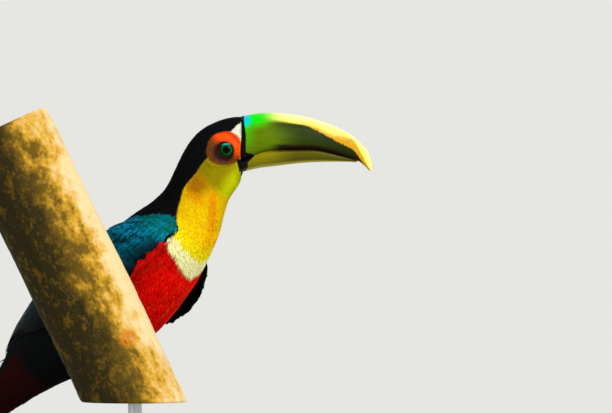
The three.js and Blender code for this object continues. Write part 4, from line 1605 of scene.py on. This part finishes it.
def bark_material(values, foot, top):
    """Smooth cream bark, stained gold, with dark patches, and painted shade that thickens them round the left
    side while the right side is painted pale as lit.
    """
    shader = Shader("bark")
    turn = turn_along(top - foot)

    def drawn_out(size, stretch, **settings):
        return shader.speckle(size, shader.placed(foot, turn=turn, scale=(1, 1, stretch)), **settings)

    aside = shader.apart(shader.placed(foot, turn=turn))[0] / LIMB_RADIUS
    blots = drawn_out(24 * MM, 1.5, detail=4, roughness=0.55)
    smears = drawn_out(8 * MM, 1.3, detail=4, roughness=0.6)
    flecks = shader.speckle(2.6 * MM, detail=3)
    threads = drawn_out(0.9 * MM, 9, detail=2)
    # The aside term is painted light and shade: the bark grows darker toward its left side and paler toward
    # its right, as if lit from the right. The blots, smears and flecks are stains.
    grime_and_shade = (blots - 0.5) * 1.6 + (smears - 0.5) * 1.4 + (flecks - 0.5) * 0.6 - aside * 1.15 + 0.6
    base = shader.mix(grime_and_shade.rise(-0.55, 0.05), values.cream, values.gold)
    base = shader.mix(grime_and_shade.rise(-0.15, 0.4), base, values.brown)
    base = shader.mix(grime_and_shade.rise(0.15, 0.8), base, values.dark)
    bald = (smears + (flecks - 0.5) * 0.3).rise(0.5, 0.66) * 0.55
    base = shader.mix(bald * grime_and_shade.rise(0.3, 0.7), base, values.brown)
    knot = shader.attribute("knot") * (0.9 + (flecks - 0.5) * 1.4 + (smears - 0.5) * 2.2)
    base = shader.mix(knot.rise(0.1, 0.55) * 0.85, base, values.knot)
    base = shader.mix(knot.rise(0.62, 0.95) * 0.8, base, values.dark)
    base = shader.times(base, (0.84 + threads * 0.3) * (0.88 + flecks * 0.24))
    normal = shader.bump(threads * 0.45 + smears * 0.3 + flecks * 0.35, 0.4 * MM)
    return shader.finish(base, 0.72 + smears * 0.16, normal, Specular_IOR_Level=0.12)


def sawn_material(values, foot, top, radius):
    """Sawn wood: growth rings about the axis, with the bark's dark edge at the radius."""
    shader = Shader("sawn wood")
    x, y, _ = shader.apart(shader.placed(foot, turn=turn_along(top - foot)))
    wobble = shader.speckle(9 * MM, detail=2)
    out = ((x * x) + (y * y)) ** 0.5 / MM + wobble * 2.4
    rings = (out * (TURN / RING_SPACING)).sine() * 0.5 + 0.5
    fibre = shader.speckle(0.7 * MM, detail=3)
    base = shader.mix(rings.rise(0.55, 0.95) * 0.8, values.heart, values.ring)
    base = shader.mix(out.rise(radius / MM - 1.6, radius / MM - 0.6), base, values.dark)
    base = shader.times(base, 0.8 + fibre * 0.36)
    return shader.finish(base, 0.78, shader.bump(rings * 0.6 + fibre * 0.4, 0.15 * MM))


def wood_piece(name, points, foot, top, radius, values, **layers):
    """A length of wood from its rings of points: bark round it and flat sawn ends."""
    bm = bmesh.new()
    _, caps = rolled(bm, points, **layers)
    for cap in caps:
        cap.material_index = 1
    materials = [bark_material(values, foot, top), sawn_material(values, foot, top, radius)]
    obj = piece("bark_" + name, mesh_from(bm, name), ["perch_" + name], materials)
    for polygon in obj.data.polygons:
        if polygon.material_index == 1:
            polygon.use_smooth = False


def build_limb(values):
    """The slanting limb: level at its sawn foot, square at the top."""
    foot, top = (at_share("perch_limb", shares) for shares in LIMB_LINE)
    axis = unit(top - foot)
    share = np.linspace(0, 1, LIMB_RINGS)
    tip = math.atan2(-axis[0], axis[2]) * ramp(share, 0, 0.35)
    across = np.stack([np.cos(tip), 0 * tip, np.sin(tip)], 1)
    deep = np.tile([0.0, 1.0, 0.0], (LIMB_RINGS, 1))
    centres = foot + (top - foot) * np.clip(share, 0.004, 0.996)[:, None]
    points = wrapped(tree_of("perch_limb"), centres, across, deep, LIMB_SIDES, inward=True)
    cut = bark_relief(points, axis, values.relief, 4)
    ends = ramp(share, 0, 0.012) * fall(share, 0.988, 1)
    inward = unit(centres[:, None] - points)
    knot = np.zeros((LIMB_RINGS, LIMB_SIDES))
    for up, aside, size in KNOTS:
        middle = foot + (axis * up + np.array([axis[2], 0, -axis[0]]) * aside) * MM
        middle[1] -= math.sqrt(LIMB_RADIUS**2 - (aside * MM) ** 2)
        knot += np.exp(-((np.linalg.norm(points - middle, axis=2) / (size * MM)) ** 2))
    cut = cut - (1.3 * knot - 1.6 * knot**4) * MM
    points = points + inward * (cut + 0.9 * MM * (1 - ends)[:, None])[:, :, None]
    wood_piece("limb", points, foot, top, LIMB_RADIUS, values, knot=knot)


def build_branch(values):
    """The side branch behind the limb, which the feet hold."""
    foot, top = (at_share("perch_branch", shares) for shares in BRANCH_LINE)
    axis = unit(top - foot)
    share = np.linspace(0.004, 0.996, BRANCH_RINGS)[:, None]
    low, high = (at_share("perch_limb", shares) for shares in LIMB_LINE)
    upward = unit(high - low)
    aside = (low - foot) - upward * ((low - foot) @ upward)
    turned = np.clip(1 - np.arange(BRANCH_RINGS) / TURNED_RINGS, 0, 1)[:, None] ** 1.5
    centres = foot + (top - foot) * share + unit(aside) * INTO_LIMB * turned
    ups = np.tile(unit(np.cross(axis, [1.0, 0, 0])), (BRANCH_RINGS, 1))
    ups = ups * np.sign(ups[:, 2:])
    outs = spokes(ups, np.cross(ups, axis), BRANCH_SIDES)
    points = centres[:, None] + outs * BRANCH_RADIUS * (1 - 0.2 * turned)[:, :, None]
    cut = bark_relief(points, axis, values.relief * 0.55, 6)
    ends = fall(share[:, 0], 0.985, 1)
    points = points - outs * (cut + 0.7 * MM * (1 - ends)[:, None])[:, :, None]
    wood_piece("branch", points, foot, top, BRANCH_RADIUS, values)


# ---- The feet ----

# The toes: which way, how far aside at the root, how far they spread, length and radius in millimetres.
TOES = [(1, 3.2, 3.4, 33, 2.9), (1, -3.2, -2.6, 25, 2.6), (-1, 3.2, 3.2, 30, 2.8), (-1, -3.2, -2.4, 19, 2.4)]
FEET = {"foot_right": 0.41, "foot_left": 0.76}
# Where the skin of a toe and its claw start and end, as shares of the toe's length.
TOE_ENDS = (0.0, 0.78)
CLAW_ENDS = (0.75, 1.0)
# Gap between the toes and the bark.
TOE_GAP = 0.25
# From one pad or scute to the next along a toe, and from one scute to the next up a shank.
PAD_SPACING = 9.5
SCUTE_SPACING = 2.3
SHANK_SCUTE = 2.6
# How high the ankle stands over the perch, how far back, and how high the shank starts.
ANKLE_UP = 24
ANKLE_BACK = 9
HEEL_UP = 3.2
SHANK_LENGTH = 26
SHANK_SIDES = 24
UPWARD = np.array([0, 0, 1])


def toe_rings(perch, foot, toe, ends, rings, sides):
    """Rings of points along a toe, or along its claw, wrapped round the perch."""
    ahead, aside, spread, long, radius = toe
    along, forwards = perch
    share = np.linspace(*ends, rings)
    if ends == CLAW_ENDS:
        u = (share - ends[0]) / (ends[1] - ends[0])
        sizes = np.tile((radius * (0.62 * (1 - u) ** 0.8 + 0.04))[:, None], (1, sides))
        ride = radius * (0.75 - 0.45 * u)
    else:
        rise = np.sin(turns(sides))
        pad = 0.14 * np.sin(TURN * share * long / PAD_SPACING) ** 2
        scute = 0.09 * ((share * long / SCUTE_SPACING) % 1.0)
        ride = radius * (1 - 0.3 * share) * (1 - 0.25 * ramp(share, 0.7, 0.8))
        grown = scute[:, None] * np.maximum(rise, 0) + pad[:, None] * np.maximum(-rise, 0)
        sizes = ride[:, None] * (0.95 + grown)
    round_perch = ahead * (long * share - 3) / (BRANCH_RADIUS / MM + radius)
    outward = UPWARD * np.cos(round_perch)[:, None] + forwards * np.sin(round_perch)[:, None]
    centres = foot + along * ((aside + spread * share) * MM)[:, None]
    centres = centres + outward * (BRANCH_RADIUS + (TOE_GAP + ride) * MM)[:, None]
    return ringed(centres, np.tile(along, (rings, 1)), outward, sizes * MM)


def shank_rings(foot, forwards):
    """Rings of points up a shank from the toes to the ankle, with scutes down its front."""
    heel = foot + UPWARD * (BRANCH_RADIUS + HEEL_UP * MM)
    ankle = foot - forwards * ANKLE_BACK * MM + UPWARD * (BRANCH_RADIUS + ANKLE_UP * MM)
    shank = unit(ankle - heel)
    across = unit(np.cross(shank, forwards))
    share = np.linspace(-0.12, 1.0, 54)
    scute = 0.22 * ((share * SHANK_LENGTH / SHANK_SCUTE) % 1.0)
    sizes = (2.65 + 1.9 * fall(share, -0.05, 0.2))[:, None]
    sizes = sizes + scute[:, None] * np.maximum(np.cos(turns(SHANK_SIDES)), 0)
    centres = heel + (ankle - heel) * share[:, None]
    ups, lefts = (np.tile(way, (len(share), 1)) for way in (np.cross(across, shank), across))
    return ringed(centres, ups, lefts, sizes * MM)


def foot_material(values):
    """Scaly grey-olive skin."""
    shader = Shader("foot")
    mottle = shader.speckle(3 * MM, detail=3)
    lines = shader.cells(1.5 * MM, "DISTANCE_TO_EDGE").rise(0.0, 0.09)
    base = shader.times(values.toe, (0.55 + lines * 0.45) * (0.75 + mottle * 0.5))
    return shader.finish(base, 0.5 + mottle * 0.15, shader.bump(lines, 0.18 * MM))


def claw_material(values):
    """Dark horn, lighter in places."""
    shader = Shader("claw")
    mottle = shader.speckle(0.8 * MM, detail=3)
    base = shader.times(values.claw, 0.6 + mottle * 0.9)
    return shader.finish(base, 0.28 + mottle * 0.1, shader.bump(mottle, 0.04 * MM))


def build_feet(values):
    """Both feet with scutes on toes and shanks, and the claws as pieces of their own."""
    start, end = (at_share("perch_branch", shares) for shares in BRANCH_LINE)
    along = unit(end - start)
    forwards = unit(np.array([along[1], -along[0], 0]))
    skin, horn = foot_material(values), claw_material(values)
    for name, share in FEET.items():
        foot = start + (end - start) * share
        toes = bmesh.new()
        claws = bmesh.new()
        for toe in TOES:
            rolled(toes, toe_rings((along, forwards), foot, toe, TOE_ENDS, 44, 20))
            rolled(claws, toe_rings((along, forwards), foot, toe, CLAW_ENDS, 14, 16))
        rolled(toes, shank_rings(foot, forwards))
        eased(toes, toes.verts, 1)
        piece(name.replace("foot", "toes"), mesh_from(toes, name), [name], [skin])
        piece(name.replace("foot", "claws"), mesh_from(claws, name), [name], [horn])


# ---- The stand ----

# Rounding of the base's lower edge.
FOOT_EDGE = 0.8 * MM
ROD_CHAMFER = 0.4 * MM
# The collar where a rod enters the base: points out from the rod and up from the base, in millimetres.
COLLAR = [(2.6, 0.05), (2.9, 0.5), (2.6, 2.6), (0.6, 3.4), (0, 4.0)]
SHARP = math.radians(35)


def wood_material(values):
    """Dark oiled wood with long grain."""
    shader = Shader("stand wood")
    stretched = shader.placed(scale=(14, 1, 1))
    grain = shader.speckle(2.2 * MM, stretched, detail=5, roughness=0.6)
    pores = shader.speckle(0.6 * MM, stretched, detail=2)
    figure = shader.speckle(26 * MM, shader.placed(scale=(4, 1, 1)), detail=3)
    streaks = (grain * 0.65 + figure * 0.5).rise(0.42, 0.72)
    base = shader.mix(streaks, values.wood, values.grain)
    base = shader.times(base, 0.85 + pores * 0.3)
    oiled = {"Coat_Weight": 0.15, "Coat_Roughness": 0.3}
    return shader.finish(base, 0.42 + grain * 0.12, shader.bump(pores, 0.06 * MM), **oiled)


def steel_material(values):
    """Brushed steel, brushed round the rod."""
    shader = Shader("stand steel")
    brushed = shader.speckle(0.5 * MM, shader.placed(scale=(12, 12, 1)), detail=2)
    base = shader.times(values.steel, 0.88 + brushed * 0.2)
    return shader.finish(base, 0.26 + brushed * 0.16, shader.bump(brushed, 0.02 * MM), Metallic=1.0)


def crisp_piece(name, bm, node, material):
    """A piece of the stand, with its sharp edges kept crisp under smooth shading."""
    obj = piece(name, mesh_from(bm, node), [node], [material])
    bm = bmesh.new()
    bm.from_mesh(obj.data)
    for edge_ in bm.edges:
        if len(edge_.link_faces) == 2:
            edge_.smooth = edge_.calc_face_angle() < SHARP
    bm.to_mesh(obj.data)
    bm.free()


def rounded(bm, edges, radius, segments):
    """Rounds edges off."""
    bmesh.ops.bevel(
        bm, geom=edges, offset=radius, affect="EDGES", segments=segments, profile=0.5, material=-1
    )


def build_base(values):
    """The base: a slab with round corners and a soft top edge."""
    low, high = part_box("stand_base")
    bm = bmesh.new()
    bmesh.ops.create_cube(bm, size=1)
    bmesh.ops.scale(bm, verts=bm.verts, vec=high - low)
    bmesh.ops.translate(bm, verts=bm.verts, vec=(high + low) / 2)
    upright = [e for e in bm.edges if abs(e.verts[0].co.z - e.verts[1].co.z) > 1 * MM]
    rounded(bm, upright, values.corner, 12)
    rounded(bm, [e for e in bm.edges if all(v.co.z > high.z - MERGE for v in e.verts)], values.edge, 5)
    rounded(bm, [e for e in bm.edges if all(v.co.z < low.z + MERGE for v in e.verts)], FOOT_EDGE, 2)
    crisp_piece("base_board", bm, "stand_base", wood_material(values))


def build_rods(values):
    """Each rod, with a low collar where it enters the base."""
    steel = steel_material(values)
    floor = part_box("stand_base")[1].z
    for name in ("stand_rod_limb", "stand_rod_branch"):
        low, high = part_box(name)
        middle = (low + high) / 2
        radius = (high.x - low.x) / 2
        profile = [
            (radius - ROD_CHAMFER, low.z),
            (radius, low.z + ROD_CHAMFER),
            (radius, floor),
            *((radius + out * MM, floor + up * MM) for out, up in COLLAR),
            (radius, high.z - ROD_CHAMFER),
            (radius - ROD_CHAMFER, high.z),
        ]
        bm = bmesh.new()
        verts = [bm.verts.new((middle.x + out, middle.y, z)) for out, z in profile]
        edges = [bm.edges.new(pair) for pair in zip(verts, verts[1:])]
        bmesh.ops.spin(
            bm, geom=verts + edges, cent=middle, axis=(0, 0, 1), angle=TURN, steps=48, use_merge=True
        )
        bmesh.ops.remove_doubles(bm, verts=bm.verts, dist=MERGE)
        bmesh.ops.holes_fill(bm, edges=[e for e in bm.edges if e.is_boundary], sides=0)
        bmesh.ops.recalc_face_normals(bm, faces=bm.faces)
        crisp_piece(name.replace("stand", "steel"), bm, name, steel)


# ---- The stage ----

FLOOR_RADIUS = 1.8
# Where the floor starts to fade and where it is gone, as shares of its radius.
FLOOR_FADE = (0.22, 0.74)
# The lamps: name, which is also that of its power, place and width in metres.
LAMPS = [("key", (1.3, -1.5, 1.5), 0.9), ("fill", (-1.7, -1.5, 0.8), 1.4), ("rim", (0.4, 1.4, 1.7), 0.8)]
SENSOR_WIDTH = 36
CAMERA_CLIP = 50
# The camera looks level at this share of the bill's length and of the neck's height.
AIM_BILL = 0.4871
AIM_NECK = 0.457


def floor_material(values):
    """A pale floor that fades out into the even background."""
    shader = Shader("floor")
    cloud = shader.speckle(180 * MM, detail=2)
    x, y, _ = shader.apart(shader.coordinates)
    out = ((x * x) + (y * y)) ** 0.5
    full, none = (FLOOR_RADIUS * share for share in FLOOR_FADE)
    base = shader.times(values.floor, 0.985 + cloud * 0.03)
    return shader.finish(base, 0.9, Alpha=out.rise(none, full), Specular_IOR_Level=0.1)


def build_floor(values):
    """A round floor under the model."""
    bm = bmesh.new()
    bmesh.ops.create_circle(bm, cap_ends=True, segments=96, radius=FLOOR_RADIUS)
    bmesh.ops.recalc_face_normals(bm, faces=bm.faces)
    floor = new_object("floor", mesh_from(bm, "floor"))
    floor.data.materials.append(floor_material(values))


def build_lamps(values):
    """Three wide lamps that point at the middle of the model and don't show."""
    middle = (CAD_BOX[0] + CAD_BOX[1]) / 2
    for name, place, size in LAMPS:
        lamp = bpy.data.lights.new(name, "AREA")
        lamp.energy = getattr(values, name)
        lamp.size = size
        obj = new_object(name, lamp)
        obj.location = place
        obj.rotation_euler = (middle - Vector(place)).to_track_quat("-Z", "Y").to_euler()
        obj.visible_camera = False


def build_background(values):
    """Even light all round, and an even pale background in view and in reflections."""
    world = bpy.data.worlds.new("even light")
    world.use_nodes = True
    world.node_tree.nodes.clear()
    shader = Shader("even light", world.node_tree)
    rays = ("Is Camera Ray", "Is Glossy Ray", "Is Transmission Ray")
    camera, glossy, clear = (shader.add("ShaderNodeLightPath", output=ray) for ray in rays)
    strength = (camera + glossy + clear).smaller(1) * (1 - values.sky) + values.sky
    seen = {"Color": tuple(values.background), "Strength": strength}
    glow = shader.add("ShaderNodeBackground", values=seen)
    shader.add("ShaderNodeOutputWorld", values={"Surface": glow})
    bpy.context.scene.world = world
    bpy.context.scene.view_settings.view_transform = "Standard"


def build_camera(values):
    """A level camera in front of the model's right side."""
    camera = bpy.data.cameras.new("camera")
    camera.sensor_width = SENSOR_WIDTH
    camera.lens = SENSOR_WIDTH * values.distance / values.width
    camera.clip_end = CAMERA_CLIP
    obj = new_object("camera", camera)
    aside = at_share("bill_upper", (AIM_BILL, 0, 0))[0]
    height = at_share("neck", (0, 0, AIM_NECK))[2]
    obj.location = (aside, -values.distance, height)
    obj.rotation_euler = (TURN / 4, 0, 0)
    bpy.context.scene.camera = obj


# ---- Operators, panel and main ----


class TOUCAN_OT_skin(bpy.types.Operator):
    """Make the one skin that covers head, neck, trunk, wings, thighs and the tail's root"""

    bl_idname = "toucan.skin"
    bl_label = "Skin"

    def execute(self, context):
        mesh = skin_mesh(context.scene.toucan_plumage, context.scene.toucan_eye)
        piece("skin", mesh, PARTS, [skin_material()])
        return {"FINISHED"}


class TOUCAN_OT_coat(bpy.types.Operator):
    """Lay the coat of small feathers on the skin"""

    bl_idname = "toucan.coat"
    bl_label = "Coat"

    def execute(self, context):
        build_coat(bpy.data.objects["skin"], context.scene.toucan_plumage)
        return {"FINISHED"}


class TOUCAN_OT_wings(bpy.types.Operator):
    """Make the large feathers of both folded wings"""

    bl_idname = "toucan.wings"
    bl_label = "Wing feathers"

    def execute(self, context):
        for name in WINGS:
            build_wing(name, context.scene.toucan_plumage)
        return {"FINISHED"}


class TOUCAN_OT_tail(bpy.types.Operator):
    """Make the twelve tail feathers"""

    bl_idname = "toucan.tail"
    bl_label = "Tail feathers"

    def execute(self, context):
        build_tail(context.scene.toucan_plumage)
        return {"FINISHED"}


class TOUCAN_OT_eyes(bpy.types.Operator):
    """Make both eyes"""

    bl_idname = "toucan.eyes"
    bl_label = "Eyes"

    def execute(self, context):
        build_eyes(context.scene.toucan_eye)
        return {"FINISHED"}


class TOUCAN_OT_bill(bpy.types.Operator):
    """Make both halves of the bill"""

    bl_idname = "toucan.bill"
    bl_label = "Bill"

    def execute(self, context):
        build_bill(context.scene.toucan_horn)
        return {"FINISHED"}


class TOUCAN_OT_feet(bpy.types.Operator):
    """Make both feet and their claws"""

    bl_idname = "toucan.feet"
    bl_label = "Feet and claws"

    def execute(self, context):
        build_feet(context.scene.toucan_horn)
        return {"FINISHED"}


class TOUCAN_OT_perch(bpy.types.Operator):
    """Make the limb and its side branch"""

    bl_idname = "toucan.perch"
    bl_label = "Perch"

    def execute(self, context):
        build_limb(context.scene.toucan_perch)
        build_branch(context.scene.toucan_perch)
        return {"FINISHED"}


class TOUCAN_OT_stand(bpy.types.Operator):
    """Make the display stand's base and rods"""

    bl_idname = "toucan.stand"
    bl_label = "Stand"

    def execute(self, context):
        build_base(context.scene.toucan_stand)
        build_rods(context.scene.toucan_stand)
        return {"FINISHED"}


class TOUCAN_OT_stage(bpy.types.Operator):
    """Set the floor, lamps, background and camera"""

    bl_idname = "toucan.stage"
    bl_label = "Stage"

    def execute(self, context):
        for build in (build_floor, build_lamps, build_background, build_camera):
            build(context.scene.toucan_stage)
        return {"FINISHED"}


OPERATORS = (
    TOUCAN_OT_skin,
    TOUCAN_OT_coat,
    TOUCAN_OT_wings,
    TOUCAN_OT_tail,
    TOUCAN_OT_eyes,
    TOUCAN_OT_bill,
    TOUCAN_OT_feet,
    TOUCAN_OT_perch,
    TOUCAN_OT_stand,
    TOUCAN_OT_stage,
)
GROUPS = {
    "toucan_plumage": ToucanPlumage,
    "toucan_eye": ToucanEye,
    "toucan_horn": ToucanHorn,
    "toucan_perch": ToucanPerch,
    "toucan_stand": ToucanStand,
    "toucan_stage": ToucanStage,
}


class TOUCAN_PT_panel(bpy.types.Panel):
    """The toucan's pieces in the order they are made"""

    bl_idname = "TOUCAN_PT_panel"
    bl_label = "Toucan"
    bl_space_type = "VIEW_3D"
    bl_region_type = "UI"
    bl_category = "Toucan"

    def draw(self, context):
        for operator in OPERATORS:
            self.layout.operator(operator.bl_idname)
        for name, group in GROUPS.items():
            box = self.layout.box()
            for key in group.__annotations__:
                box.prop(getattr(context.scene, name), key)


CLASSES = (*GROUPS.values(), *OPERATORS, TOUCAN_PT_panel)


def register():
    for kept in CLASSES:
        bpy.utils.register_class(kept)
    for name, group in GROUPS.items():
        setattr(bpy.types.Scene, name, PointerProperty(type=group))


def unregister():
    for name in GROUPS:
        delattr(bpy.types.Scene, name)
    for kept in reversed(CLASSES):
        bpy.utils.unregister_class(kept)


def main():
    """Registers the classes and makes every piece and the stage."""
    register()
    for operator in OPERATORS:
        group, name = operator.bl_idname.split(".")
        getattr(getattr(bpy.ops, group), name)()


if __name__ == "__main__":
    main()
